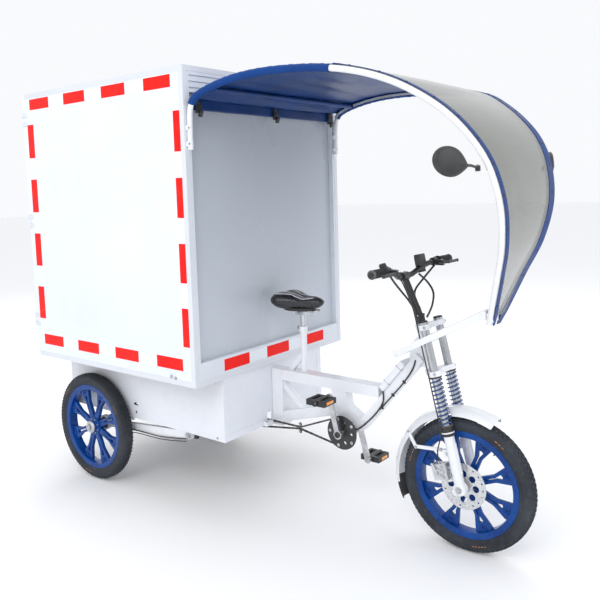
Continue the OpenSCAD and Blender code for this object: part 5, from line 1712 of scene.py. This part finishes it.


# ------------------------------------------------------------------- wheels
# Cast alloy wheels, powder-coated blue: eight forked spokes from a
# drilled hub to a rim with bosses. Black rubber tyres, greyed by dust.

wheel_blue = Finish("wheel_powder_blue")
blue_cloud = wheel_blue.ramp(wheel_blue.noise(9, 5), (0.3, 0.0), (0.75, 1.0))
blue_dust = wheel_blue.ramp(wheel_blue.noise(34, 7), (0.52, 0.0), (0.82, 1.0))
wheel_blue.surface(
    base_color=wheel_blue.mix(
        blue_dust * 0.22,
        wheel_blue.mix(blue_cloud, (0.001, 0.034, 0.180), (0.002, 0.062, 0.300)),
        (0.06, 0.11, 0.24)),
    roughness=wheel_blue.ramp(blue_cloud * 0.6 + blue_dust * 0.4, (0.1, 0.22), (0.8, 0.46)),
    normal=wheel_blue.bump(wheel_blue.noise(420, 2), 0.0003, 0.35),
    specular_ior_level=0.22,
    coat_weight=0.10,
    coat_roughness=0.12,
)
rubber = Finish("tyre_rubber")
rubber_dust = rubber.ramp(rubber.noise(7, 6), (0.3, 0.0), (0.75, 1.0))
rubber_scuff = rubber.ramp(rubber.noise(42, 6), (0.5, 0.0), (0.8, 1.0))
rubber.surface(
    base_color=rubber.mix(rubber_dust * 0.6 + rubber_scuff * 0.3, (0.015, 0.018, 0.024),
                          (0.075, 0.084, 0.100)),
    roughness=rubber.ramp(rubber_dust, (0.2, 0.62), (0.8, 0.86)),
    normal=rubber.bump(rubber.noise(300, 3), 0.0005, 0.5),
    specular_ior_level=0.3,
)
mark_orange = Finish("tyre_mark_orange")
mark_wear = mark_orange.ramp(mark_orange.noise(90, 5), (0.35, 0.0), (0.6, 1.0))
mark_orange.surface(base_color=mark_orange.mix(mark_wear, (0.30, 0.13, 0.05), (0.70, 0.27, 0.06)),
                    roughness=mark_orange.ramp(mark_wear, (0.2, 0.55), (0.8, 0.75)))
disc_steel = Finish("brushed_disc_steel")
spun = disc_steel.node("ShaderNodeTexNoise", inputs={
    "Vector": disc_steel.place((1, 0.05, 1)), "Scale": 150.0, "Detail": 4.0})
disc_steel.surface(
    base_color=disc_steel.mix(disc_steel.ramp(spun, (0.3, 0.0), (0.7, 1.0)),
                              (0.55, 0.56, 0.57), (0.76, 0.77, 0.78)),
    metallic=0.95,
    roughness=disc_steel.ramp(spun, (0.3, 0.22), (0.7, 0.38)),
    normal=disc_steel.bump(spun, 0.0002, 0.3),
)
coat_node("brake_rotor", disc_steel)


def wheel_point(axle, r, turn, y):
    return Vector((axle.x + r * math.cos(turn), y, axle.z + r * math.sin(turn)))


def tread_blocks(name, axle, middle_y, body, phase):
    """Two rows of shoulder blocks and a broken centre rib, round the tyre."""
    corners, faces = [], []
    pitch_count = 84

    def block(turn, y, wide_turn, wide_y, lean, base, top):
        start = len(corners)
        for r, shrink in ((base, 1.0), (top, 0.86)):
            for u, v in ((-1, -1), (1, -1), (1, 1), (-1, 1)):
                t = turn + shrink * (u * wide_turn + lean * v)
                corners.append(wheel_point(axle, r - 0.0010 * abs(y + v * wide_y - middle_y)
                                           / 0.02, t, y + shrink * v * wide_y))
        faces.extend([(start + 3, start + 2, start + 1, start),
                      (start + 4, start + 5, start + 6, start + 7)])
        faces.extend((start + k, start + (k + 1) % 4, start + 4 + (k + 1) % 4, start + 4 + k)
                     for k in range(4))

    step = math.tau / pitch_count
    for k in range(pitch_count):
        turn = phase + k * step
        block(turn, middle_y, step * 0.34, 0.0042, step * 0.12, 0.2610, 0.2643)
        block(turn + step * 0.5, middle_y - 0.0125, step * 0.36, 0.0052, step * 0.30, 0.2585,
              0.2633)
        block(turn + step * 0.5, middle_y + 0.0125, step * 0.36, 0.0052, -step * 0.30, 0.2585,
              0.2633)
        block(turn, middle_y - 0.0232, step * 0.32, 0.0032, step * 0.2, 0.2530, 0.2582)
        block(turn, middle_y + 0.0232, step * 0.32, 0.0032, -step * 0.2, 0.2530, 0.2582)
    return make_piece(name, corners, faces, rubber, body, "tyre", 30)


def tyre_ring(name, axle, middle_y, body, node):
    """The carcass: fluted sidewalls, a bead line, and fine ribs on the wall."""
    wall = ((0.2075, 0.0200), (0.2120, 0.0252), (0.2160, 0.0262), (0.2172, 0.0272),
            (0.2188, 0.0272), (0.2200, 0.0280), (0.2265, 0.0308), (0.2275, 0.0315),
            (0.2290, 0.0315), (0.2300, 0.0317), (0.2380, 0.0316), (0.2450, 0.0304),
            (0.2460, 0.0308), (0.2474, 0.0306), (0.2482, 0.0292), (0.2530, 0.0256),
            (0.2570, 0.0208), (0.2596, 0.0150), (0.2608, 0.0075), (0.2612, 0.0))
    profile = [(r, y) for r, y in wall] + [(r, -y) for r, y in reversed(wall[:-1])]
    steps, n = 144, len(profile)
    corners = []
    for i in range(steps):
        turn = math.tau * i / steps
        corners += [wheel_point(axle, r, turn, middle_y + y) for r, y in profile]
    faces = ring_faces(steps, n, closed=True)
    tyre = make_piece(name, corners, faces, rubber, body, "tyre", 50)
    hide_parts(node)
    return tyre


def flat_ring_part(name, axle, shapes, finish, body, bevel=0.0012):
    """Solid plates in the wheel's plane: each an outline with holes, y_low to y_high."""
    made = []
    for index, (outline, holes, y_low, y_high) in enumerate(shapes):
        curve = bpy.data.curves.new(f"{name}_{index}", "CURVE")
        curve.dimensions = "2D"
        curve.fill_mode = "BOTH"
        curve.extrude = (y_high - y_low) / 2 - bevel
        curve.bevel_depth = bevel
        curve.bevel_resolution = 2
        for loop in (outline, *holes):
            spline = curve.splines.new("POLY")
            spline.points.add(len(loop) - 1)
            for point, (a, b) in zip(spline.points, loop):
                point.co = (a, b, 0, 1)
            spline.use_cyclic_u = True
        shape = bpy.data.objects.new(f"{name}_{index}", curve)
        shape.matrix_world = (Matrix.Translation((axle.x, (y_low + y_high) / 2, axle.z))
                              @ Matrix.Rotation(math.pi / 2, 4, "X"))
        bpy.context.collection.objects.link(shape)
        bpy.context.view_layer.update()
        mesh = bpy.data.meshes.new_from_object(
            shape.evaluated_get(bpy.context.evaluated_depsgraph_get()))
        mesh.transform(shape.matrix_world)
        bpy.data.objects.remove(shape)
        made.append(mesh)
    joined = bmesh.new()
    for mesh in made:
        joined.from_mesh(mesh)
        bpy.data.meshes.remove(mesh)
    bmesh.ops.remove_doubles(joined, verts=joined.verts, dist=1e-6)
    bmesh.ops.recalc_face_normals(joined, faces=joined.faces)
    mesh = bpy.data.meshes.new(name)
    joined.to_mesh(mesh)
    joined.free()
    part = bpy.data.objects.new(name, mesh)
    bpy.context.collection.objects.link(part)
    return dress(part, finish, body, 35)


def circle_loop(x, y, r, steps=32):
    return [(x + r * math.cos(math.tau * k / steps), y + r * math.sin(math.tau * k / steps))
            for k in range(steps)]


def turned_loop(loop, turn):
    c, s = math.cos(turn), math.sin(turn)
    return [(c * x - s * y, s * x + c * y) for x, y in loop]


def rounded(loop, radius, steps=4):
    """The same outline with its corners rounded off."""
    result, n = [], len(loop)
    for i in range(n):
        a, b, c = (Vector(loop[i - 1]), Vector(loop[i]), Vector(loop[(i + 1) % n]))
        back, on = (a - b), (c - b)
        cut = min(radius, back.length * 0.45, on.length * 0.45)
        start, end = b + unit(back) * cut, b + unit(on) * cut
        for k in range(steps + 1):
            u = k / steps
            result.append(tuple((1 - u) ** 2 * start + 2 * u * (1 - u) * b + u * u * end))
    return result


spoke_leg = rounded([(0.034, 0.0130), (0.120, 0.0120), (0.178, 0.0320), (0.194, 0.0300),
                     (0.194, -0.0300), (0.178, -0.0320), (0.120, -0.0120), (0.034, -0.0130)],
                    0.006)
spoke_window = rounded([(0.060, 0.0), (0.092, 0.0050), (0.124, 0.0050), (0.150, 0.0135),
                        (0.156, 0.0), (0.150, -0.0135), (0.124, -0.0050), (0.092, -0.0050)],
                       0.004)
wheels = (("front", "front_wheel", "front_rim", "front_tyre", front_axle, 0.0, 0.1),
          ("rear_right", "rear_wheel_right", "rear_rim_right", "rear_tyre_right",
           rear_axle, -0.402, 0.02),
          ("rear_left", "rear_wheel_left", "rear_rim_left", "rear_tyre_left",
           rear_axle, 0.402, 0.05))
spoke_count = 8
for label, body, rim_node, tyre_node, axle, middle_y, phase in wheels:
    low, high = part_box(tyre_node)
    middle_y = (low.y + high.y) / 2
    tyre_ring(f"tyre_{label}", axle, middle_y, body, tyre_node)
    tread_blocks(f"tread_{label}", axle, middle_y, body, phase)
    half_turn = math.pi / spoke_count
    spokes = [(turned_loop(spoke_leg, half_turn * (2 * k + 1)),
               [turned_loop(spoke_window, half_turn * (2 * k + 1)),
                turned_loop(circle_loop(0.172, 0, 0.0060, 20), half_turn * (2 * k + 1))],
               middle_y - 0.009, middle_y + 0.009) for k in range(spoke_count)]
    flat_ring_part(f"spokes_{label}", axle, spokes, wheel_blue, body, 0.0030)
    rim_profile = ((0.1855, -0.0200), (0.1862, -0.0222), (0.1885, -0.0232), (0.2060, -0.0242),
                   (0.2095, -0.0244), (0.2106, -0.0232), (0.2103, -0.0215), (0.2085, -0.0200),
                   (0.2030, -0.0165), (0.2020, -0.0150), (0.2020, 0.0150), (0.2030, 0.0165),
                   (0.2085, 0.0200), (0.2103, 0.0215), (0.2106, 0.0232), (0.2095, 0.0244),
                   (0.2060, 0.0242), (0.1885, 0.0232), (0.1862, 0.0222), (0.1855, 0.0200))
    rim_steps = 160
    corners = [wheel_point(axle, r, math.tau * i / rim_steps, middle_y + y)
               for i in range(rim_steps) for r, y in rim_profile]
    faces = ring_faces(rim_steps, len(rim_profile), closed=True)
    rim = make_piece(f"rim_{label}", corners, faces, wheel_blue, body, "rim_blue", 40)
    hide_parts(rim_node)
    # the hub's barrel and spoke flange, with a turned step on each face
    hub_half = 0.0362 if label == "front" else 0.0302
    hub_profile = ((-hub_half, 0.0120), (-hub_half, 0.0240), (-hub_half + 0.003, 0.0270),
                   (-0.0160, 0.0275), (-0.0140, 0.0300), (-0.0132, 0.0410), (-0.0118, 0.0440),
                   (0.0118, 0.0440), (0.0132, 0.0410), (0.0140, 0.0300), (0.0160, 0.0275),
                   (hub_half - 0.003, 0.0270), (hub_half, 0.0240), (hub_half, 0.0120))
    turned(f"hub_{label}", Vector((axle.x, middle_y, axle.z)), (0, 1, 0), hub_profile, 64,
           wheel_blue, body, "rim_blue", 30)
    # a raised ring on each spoke's head, round its hole, on both faces
    corners, faces = [], []
    for k in range(spoke_count):
        eye = wheel_point(axle, 0.1720, half_turn * (2 * k + 1), middle_y)
        for face in (-1, 1):
            for r in (0.0082, 0.0135):
                ring_path = [eye + Vector((r * math.cos(a), face * 0.0090, r * math.sin(a)))
                             for a in (math.tau * j / 28 for j in range(28))]
                shell, shell_faces = tube_shell(ring_path, 0.0016, 8, closed=True)
                faces += [tuple(v + len(corners) for v in f) for f in shell_faces]
                corners += shell
    make_piece(f"spoke_rings_{label}", corners, faces, wheel_blue, body, "rim_blue", 60)
    for k in range(spoke_count):
        for face in (-1, 1):
            turned(f"spoke_bolt_{label}_{k}_{'out' if face > 0 else 'in'}",
                   wheel_point(axle, 0.0345, half_turn * (2 * k + 1), middle_y + face * 0.0128),
                   (0, face, 0), ((0.0, 0.0040), (0.0022, 0.0040), (0.0030, 0.0032),
                                  (0.0012, 0.0022)), 6, zinc, body, "zinc", 30)
    # the valve stem, and plain orange dashes moulded on the sidewalls
    valve = [wheel_point(axle, r, half_turn * 2 + 0.12, middle_y) for r in
             (0.2025, 0.188, 0.176, 0.168)]
    make_piece(f"valve_{label}", *tube_shell(valve, [0.0042, 0.0032, 0.0030, 0.0024], 14),
               seal_black, body, "black_plastic")
    marks, mark_faces = [], []
    for face in (-1, 1):
        for start_turn, count, long in ((2.2, 5, 0.030), (4.35, 5, 0.030), (0.35, 3, 0.045)):
            for m in range(count):
                for r_low, r_high in ((0.2335, 0.2358),):
                    start = len(marks)
                    t0 = start_turn + phase * 5 + m * (long + 0.022)
                    for s in range(7):
                        t = t0 + long * s / 6
                        marks.append(wheel_point(axle, r_low, t, middle_y + face * 0.0321))
                        marks.append(wheel_point(axle, r_high, t, middle_y + face * 0.0321))
                    mark_faces += [(start + 2 * s, start + 2 * s + 1, start + 2 * s + 3,
                                    start + 2 * s + 2) for s in range(6)]
    mark = make_piece(f"tyre_marks_{label}", marks, mark_faces, mark_orange, body, "tyre", 60)
    mark_thick = mark.modifiers.new("thickness", "SOLIDIFY")
    mark_thick.thickness = 0.0005
    mark_thick.offset = 0
# hub caps: silver outside the rear wheels; red with a blue ring in front
cap_red = gloss_paint("hub_cap_red", (0.42, 0.018, 0.020), 0.3, 0.15, 0.4, 0.2)
for side, label in both_sides:
    body = f"rear_wheel_{label}"
    outer = Vector((rear_axle.x, side * 0.4322, rear_axle.z))
    turned(f"rear_hub_cap_{label}", outer, (0, side, 0),
           ((-0.006, 0.0275), (0.0, 0.0300), (0.0025, 0.0300), (0.0050, 0.0280),
            (0.0085, 0.0210), (0.0095, 0.0110)), 48, cast_silver, body, "alloy", 30)
    bolt_head(f"rear_hub_nut_{label}", outer + Vector((0, side * 0.0095, 0)), (0, side, 0),
              0.0095, zinc, body, "zinc", 0.010)
    turned(f"front_hub_ring_{label}", front_axle + Vector((0, side * 0.0363, 0)), (0, side, 0),
           ((-0.004, 0.0150), (0.0, 0.0235), (0.0012, 0.0235), (0.0016, 0.0150)), 40,
           wheel_blue if side < 0 else cast_silver, "front_wheel", "rim_blue", 30)
    turned(f"front_hub_seal_{label}", front_axle + Vector((0, side * 0.0376, 0)), (0, side, 0),
           ((-0.004, 0.0115), (0.0, 0.0185), (0.0011, 0.0185), (0.0014, 0.0115)), 40,
           cap_red, "front_wheel", "rim_blue", 30)
for k in range(5):
    turn = math.tau * (k + 0.5) / 5
    bolt_head(f"disc_bolt_{k}", wheel_point(front_axle, 0.0215, turn, -0.0385), (0, -1, 0),
              0.0030, zinc, "front_wheel", "zinc", 0.002)


# --------------------------------------------------- stem, bar and controls
# Black-sprayed steel stem and bar; rubber grips with fine rings; black
# plastic switches, lever clamps and display; pressed alloy levers.

bar_black = gloss_paint("bar_black_spray", (0.016, 0.016, 0.017), 0.36, 0.18, 0.25, 0.4)
for node in ("stem", "handlebar"):
    coat_node(node, bar_black)
control_black = moulded_black("control_plastic", 0.017, 0.38, 700)
coat_node("bar_controls", control_black)
lever_black = gloss_paint("lever_black_anodising", (0.022, 0.022, 0.024), 0.34, 0.2, 0.15, 0.4)
for label in ("right", "left"):
    coat_node(f"brake_lever_{label}", lever_black)
grip_rubber = moulded_black("grip_rubber", 0.014, 0.62, 900)
grip_grey = moulded_black("grip_end_rubber", 0.07, 0.55, 900)
bar_tip = Vector((front_axle.x - 0.220, 0.318, 1.095))
bar_bend = Vector((front_axle.x - 0.226, 0.208, 1.094))
grip_line = unit(bar_tip - bar_bend)
for side, label, node, body in ((-1, "right", "throttle_grip", "throttle"),
                                (1, "left", "grip_left", "steering")):
    foot = bar_bend + grip_line * 0.0088
    direction = Vector((grip_line.x, side * grip_line.y, grip_line.z))
    start = Vector((foot.x, side * foot.y, foot.z))
    length = 0.0995
    profile = [(0.0002, 0.0120), (0.0004, 0.0192), (0.0012, 0.0200), (0.0030, 0.0200),
               (0.0040, 0.0188), (0.0048, 0.0163)]
    ribs = 26
    for k in range(ribs):
        u = 0.0060 + k * (length - 0.016) / ribs
        pitch = (length - 0.016) / ribs
        swell = 0.0006 * math.sin(math.pi * k / ribs)
        profile += [(u, 0.0150 + swell), (u + pitch * 0.15, 0.0161 + swell),
                    (u + pitch * 0.72, 0.0161 + swell), (u + pitch * 0.88, 0.0150 + swell)]
    profile += [(length - 0.0095, 0.0152)]
    grip = turned(f"grip_sleeve_{label}", start, direction, profile, 40, grip_rubber, body,
                  "grip_rubber", 25)
    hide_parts(node)
    turned(f"grip_end_{label}", start + direction * (length - 0.0095), direction,
           ((0.0, 0.0130), (0.0004, 0.0166), (0.0020, 0.0174), (0.0065, 0.0174),
            (0.0085, 0.0160), (0.0094, 0.0120)), 40, grip_grey, body, "grip_rubber", 25)
    pin = Vector(joints[f"brake_lever_{label}_pull"]["pos_m"])
    bolt_head(f"lever_pin_{label}", Vector((pin.x, pin.y, pin.z + 0.0112)), (0, 0, 1), 0.0042,
              zinc, "steering", "zinc", 0.003)
    turned(f"cable_adjuster_{label}", Vector((pin.x + 0.001, side * 0.1795, pin.z - 0.001)),
           (-0.15, -side, -0.1), ((-0.004, 0.0042), (0.0, 0.0052), (0.008, 0.0052),
                                  (0.009, 0.0038), (0.016, 0.0036)), 18, control_black,
           "steering", "black_plastic")
    for k in (-1, 1):
        bolt_head(f"clamp_screw_{label}_{k}", Vector((pin.x - 0.0335, side * 0.188,
                                                      pin.z + 0.004 + k * 0.0165)),
                  (0, 0, k), 0.0030, zinc, "steering", "zinc", 0.003)
# switch block by the throttle: a housing, a rocker and two round buttons
turned("switch_housing", Vector((front_axle.x - 0.2265, -0.2043, 1.0938)), (0.05, -1, 0.009),
       ((0.0, 0.0150), (0.0006, 0.0188), (0.0016, 0.0196), (0.0100, 0.0196), (0.0112, 0.0188),
        (0.0117, 0.0150)), 44, control_black, "steering", "black_plastic", 30)
soft_block("switch_pod", (0.024, 0.020, 0.022), 0.0040, control_black,
           Matrix.Translation((front_axle.x - 0.2400, -0.1985, 1.1120))
           @ Matrix.Rotation(-0.5, 4, "Y"), "steering")
for k, finish in enumerate((cap_red, grip_grey)):
    turned(f"switch_button_{k}", Vector((front_axle.x - 0.2490, -0.2035 + k * 0.0100, 1.1190)),
           (-0.5, 0, 0.86), ((0.0, 0.0036), (0.0022, 0.0036), (0.0030, 0.0030)), 20, finish,
           "steering", "black_plastic", 30)
# the readout: a rounded black case over the bar, left of the stem
glass_black = Finish("readout_glass")
glass_smear = glass_black.ramp(glass_black.noise(60, 5), (0.4, 0.0), (0.8, 1.0))
glass_black.surface(base_color=glass_black.mix(glass_smear, (0.006, 0.008, 0.010),
                                               (0.03, 0.034, 0.038)),
                    roughness=glass_black.ramp(glass_smear, (0.2, 0.06), (0.8, 0.2)),
                    coat_weight=0.7)
readout = (Matrix.Translation((front_axle.x - 0.2515, 0.115, 1.1060))
           @ Matrix.Rotation(math.radians(-12), 4, "Y"))
soft_block("readout_case", (0.024, 0.058, 0.048), 0.0055, control_black, readout, "steering",
           4)
soft_block("readout_glass", (0.0016, 0.046, 0.030), 0.0006, glass_black,
           readout @ Matrix.Translation((-0.0122, 0, 0.003)), "steering")
for k in range(3):
    soft_block(f"readout_key_{k}", (0.0020, 0.0090, 0.0050), 0.0009, grip_grey,
               readout @ Matrix.Translation((-0.0122, -0.015 + k * 0.015, -0.0175)),
               "steering")
# the bell-shaped clamp cap on the stem, with its four bolts
clamp_spot = Vector((front_axle.x - 0.262, 0, 1.052))
for sy in (-1, 1):
    for k, (lift, ahead) in enumerate(((0.0150, 0.0085), (-0.0085, 0.0150))):
        bolt_head(f"stem_bolt_{'l' if sy > 0 else 'r'}_{k}",
                  clamp_spot + Vector((-ahead, sy * 0.014, lift)), (-0.62, 0, 0.78), 0.0036,
                  zinc, "steering", "zinc", 0.004)
turned("stem_lock_collar", on_fork(-0.042, 0, 0.6605), fork_up,
       ((0.0, 0.0182), (0.0012, 0.0205), (0.0085, 0.0205), (0.0100, 0.0180)), 40, bar_black,
       "steering", "black_plastic", 30)
bolt_head("stem_collar_bolt", on_fork(-0.042, -0.0203, 0.6655), (0, -1, 0), 0.0036, zinc,
          "steering", "zinc", 0.004)


# ------------------------------------------------------------------ saddle
# A wide foam saddle in black vinyl on a moulded pan, with two raised mesh
# panels, each bordered by a wavy line of white piping, and a channel
# between them. It is clamped to a silver post by two rails.

vinyl = Finish("saddle_vinyl")
hide = vinyl.node("ShaderNodeTexVoronoi", {"feature": "DISTANCE_TO_EDGE"},
                  {"Vector": vinyl.place(), "Scale": 620.0})
shine = vinyl.ramp(vinyl.noise(16, 5), (0.35, 0.0), (0.75, 1.0))
vinyl.surface(
    base_color=vinyl.mix(shine, (0.008, 0.009, 0.011), (0.024, 0.026, 0.031)),
    roughness=vinyl.ramp(shine, (0.2, 0.26), (0.8, 0.40)),
    normal=vinyl.bump(vinyl.ramp(hide, (0.0, 0.0), (0.08, 1.0)), 0.0003, 0.35),
    specular_ior_level=0.6,
)
air_mesh = Finish("saddle_air_mesh")
holes = air_mesh.node("ShaderNodeTexVoronoi", {"feature": "F1"},
                      {"Vector": air_mesh.place(), "Scale": 330.0, "Randomness": 0.15})
air_mesh.surface(
    base_color=air_mesh.mix(air_mesh.ramp(holes, (0.18, 0.0), (0.42, 1.0)),
                            (0.008, 0.008, 0.009), (0.115, 0.118, 0.125)),
    roughness=air_mesh.ramp(air_mesh.noise(60, 3), (0.3, 0.62), (0.7, 0.8)),
    normal=air_mesh.bump(holes, 0.0012, 0.7),
    sheen_weight=0.3,
)
piping = Finish("saddle_white_piping")
piping_soil = piping.ramp(piping.noise(50, 5), (0.45, 0.0), (0.8, 1.0))
piping.surface(base_color=piping.mix(piping_soil, (0.72, 0.73, 0.75), (0.50, 0.50, 0.51)),
               roughness=piping.ramp(piping_soil, (0.2, 0.42), (0.8, 0.6)),
               normal=piping.bump(piping.noise(700, 2), 0.0002, 0.3))

saddle_low, saddle_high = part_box("saddle")
seat_centre = Vector((front_axle.x - 0.772, 0, saddle_high.z))
shell_mesh = frame["nodes"]["saddle"].data.copy()
shell_mesh.transform(frame["nodes"]["saddle"].matrix_world)
shell_mesh.materials.clear()
shell_mesh.materials.append(vinyl.material)
saddle = bpy.data.objects.new("saddle_cover", shell_mesh)
bpy.context.collection.objects.link(saddle)
welded = bmesh.new()
welded.from_mesh(shell_mesh)
bmesh.ops.remove_doubles(welded, verts=welded.verts, dist=0.00002)
middle_z = (saddle_low.z + saddle_high.z) / 2
for vertex in welded.verts:
    away = vertex.co - Vector((seat_centre.x, 0, middle_z))
    vertex.co -= unit(away) * 0.0042
welded.to_mesh(shell_mesh)
welded.free()
bpy.context.view_layer.objects.active = saddle
voxel = saddle.modifiers.new("even_mesh", "REMESH")
voxel.mode = "VOXEL"
voxel.voxel_size = 0.0046


def bake(piece):
    """Applies whatever the piece's modifiers make of it now."""
    graph = bpy.context.evaluated_depsgraph_get()
    graph.update()
    made = bpy.data.meshes.new_from_object(piece.evaluated_get(graph), depsgraph=graph)
    piece.modifiers.clear()
    piece.data = made


bake(saddle)
rest = [v.co.copy() for v in saddle.data.vertices]
swell = saddle.modifiers.new("foam", "CLOTH")
swell.settings.use_pressure = True
swell.settings.uniform_pressure_force = 4.0
swell.settings.effector_weights.gravity = 0
swell.settings.quality = 5
for number in range(1, 21):
    bpy.context.scene.frame_set(number)
bake(saddle)
bpy.context.scene.frame_set(1)
for vertex, start in zip(saddle.data.vertices, rest):
    move = vertex.co - start
    if move.length > 0.006:
        vertex.co = start + unit(move) * 0.006
    if start.z < saddle_low.z + 0.010:
        vertex.co.z = max(vertex.co.z, saddle_low.z + 0.0005)
    # the skirt rises at the nose and the tail, and draws in below the foam
    along = vertex.co.x - seat_centre.x
    below = max(0.0, min(1.0, (middle_z + 0.016 - vertex.co.z) / 0.050))
    rise = (0.0170 * max(0.0, (along - 0.020) / 0.115) ** 1.3
            + 0.0135 * max(0.0, (-0.045 - along) / 0.085) ** 1.3)
    vertex.co.z += min(0.024, rise) * below ** 1.2
    drawn = 1 - 0.20 * below ** 2
    vertex.co.y *= drawn
    vertex.co.x = seat_centre.x + along * (1 - 0.060 * below ** 2)
    # the channel down the middle, the dip amidships and the lifted tail
    x, y = vertex.co.x - seat_centre.x, vertex.co.y
    upper = max(0.0, min(1.0, (vertex.co.z - middle_z) / 0.022))
    reach = math.exp(-((x + 0.035) / 0.085) ** 4)
    vertex.co.z -= upper * reach * 0.0085 * math.exp(-(y / 0.0105) ** 2)
    vertex.co.z -= upper * 0.0105 * math.exp(-((x - 0.018) / 0.042) ** 2)
    vertex.co.z -= upper * 0.0050 * max(0.0, (x - 0.075) / 0.05) ** 2
    vertex.co.z += upper * 0.0020 * max(0.0, -x / 0.13) ** 2
saddle.data.update()
finer = saddle.modifiers.new("finer", "SUBSURF")
finer.levels = finer.render_levels = 1
bake(saddle)
dress(saddle, vinyl, "seat", 180)
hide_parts("saddle")

depsgraph = bpy.context.evaluated_depsgraph_get()
cover = bvhtree.BVHTree.FromObject(saddle, depsgraph)


def on_saddle(x, y, lift=0.0):
    """The point of the cover below (x, y), raised along the cover's slope."""
    place, normal, _, _ = cover.ray_cast(Vector((seat_centre.x + x, y, saddle_high.z + 0.05)),
                                         Vector((0, 0, -1)))
    return place + normal * lift


def panel_edge(x):
    """Half width of the mesh panels: waisted and wavy, tapering to the nose."""
    u = (x + 0.118) / 0.200
    return (0.064 - 0.052 * u ** 1.35) * (1 + 0.10 * math.sin(u * 9.0 + 0.6)) * (
        0.35 + 0.65 * min(1.0, u / 0.10) ** 0.5)


for side, label in both_sides:
    rows, columns = 60, 16
    corners = []
    for i in range(rows + 1):
        x = -0.116 + 0.190 * i / rows
        outer = panel_edge(x)
        inner = min(0.0085, outer * 0.5)
        for j in range(columns + 1):
            y = inner + (outer - inner) * j / columns
            edge = min(i, rows - i, j, columns - j)
            lift = (-0.0006, 0.0007, 0.0011)[min(edge, 2)]
            corners.append(on_saddle(x, side * y, lift))
    make_piece(f"saddle_mesh_{label}", corners, grid_faces(rows, columns), air_mesh, "seat",
               "saddle", 180)
    border = [on_saddle(-0.116 + 0.190 * k / 90, side * (panel_edge(-0.116 + 0.190 * k / 90)
                                                         + 0.0008), 0.0006)
              for k in range(91)]
    make_piece(f"saddle_piping_{label}",
               *tube_shell(border, [0.0006 + 0.0010 * min(1.0, k / 6, (90 - k) / 6)
                                    for k in range(91)], 10),
               piping, "seat", "saddle", 60)
    inner_line = [on_saddle(-0.104 + 0.130 * k / 70, side * (0.022 + 0.010 * math.sin(
        k / 70 * 6.4 + 0.5)), 0.0010) for k in range(71)]
    make_piece(f"saddle_wave_{label}",
               *tube_shell(inner_line, [0.0004 + 0.0008 * min(1.0, k / 8, (70 - k) / 8)
                                        for k in range(71)], 8),
               piping, "seat", "saddle", 60)
# the seam round the skirt, where the cover's top is sewn to its side
seam_loop = []
for k in range(120):
    turn = math.tau * k / 120
    way = Vector((math.cos(turn), math.sin(turn) * 0.8, 0.0))
    hit, normal, _, _ = cover.ray_cast(Vector((seat_centre.x - 0.01, 0, middle_z + 0.002)),
                                       unit(way))
    if hit is not None:
        seam_loop.append(hit + normal * 0.0002)
make_piece("saddle_skirt_seam", *tube_shell(seam_loop, 0.0010, 8, closed=True), vinyl, "seat",
           "saddle", 60)
# the moulded pan under the foam
pan_points = []
for k in range(96):
    turn = math.tau * k / 96
    pan_points.append(Vector((seat_centre.x - 0.010 + 0.080 * math.cos(turn),
                              0.054 * math.sin(turn) * (1 - 0.35 * math.cos(turn)), 0.0)))
pan_centre = sum(pan_points, Vector()) / len(pan_points)
corners = []
for scale, z in ((0.90, -0.0042), (0.965, -0.0044), (0.985, -0.0030), (0.985, 0.0075),
                 (0.93, 0.0080)):
    corners += [Vector((pan_centre.x + (p.x - pan_centre.x) * scale,
                        (p.y - pan_centre.y) * scale, saddle_low.z + z)) for p in pan_points]
faces = ring_faces(5, 96) + [tuple(range(95, -1, -1)), tuple(4 * 96 + k for k in range(96))]
make_piece("saddle_pan", corners, faces, control_black, "seat", "black_plastic", 50)

post_alloy = Finish("seatpost_alloy")
draw_marks = post_alloy.noise(180, 3, (1, 1, 0.04))
post_alloy.surface(
    base_color=post_alloy.mix(post_alloy.ramp(draw_marks, (0.3, 0.0), (0.7, 1.0)),
                              (0.46, 0.47, 0.49), (0.68, 0.69, 0.71)),
    metallic=0.95,
    roughness=post_alloy.ramp(draw_marks, (0.3, 0.20), (0.7, 0.36)),
)
coat_node("seatpost", post_alloy)
post_x = seat_centre.x
turned("seat_collar", (post_x, 0, 0.7835), (0, 0, 1),
       ((0.0, 0.0150), (0.0006, 0.0176), (0.0016, 0.0182), (0.0140, 0.0182), (0.0152, 0.0174),
        (0.0170, 0.0135)), 44, control_black, "chassis", "black_plastic", 30)
soft_block("seat_collar_ears", (0.012, 0.018, 0.013), 0.002, control_black,
           Matrix.Translation((post_x - 0.0215, 0, 0.7915)), "chassis")
bolt_head("seat_collar_bolt", (post_x - 0.0225, -0.0090, 0.7915), (0, -1, 0), 0.0040, zinc,
          "chassis", "zinc", 0.004)
for side, label in both_sides:
    bolt_head(f"saddle_clamp_bolt_{label}", (post_x - 0.004, side * 0.0262, 0.8620),
              (0, side, 0), 0.0062, zinc, "seat", "zinc", 0.006)


# ------------------------------------------------- the box's size, and done

low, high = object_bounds()
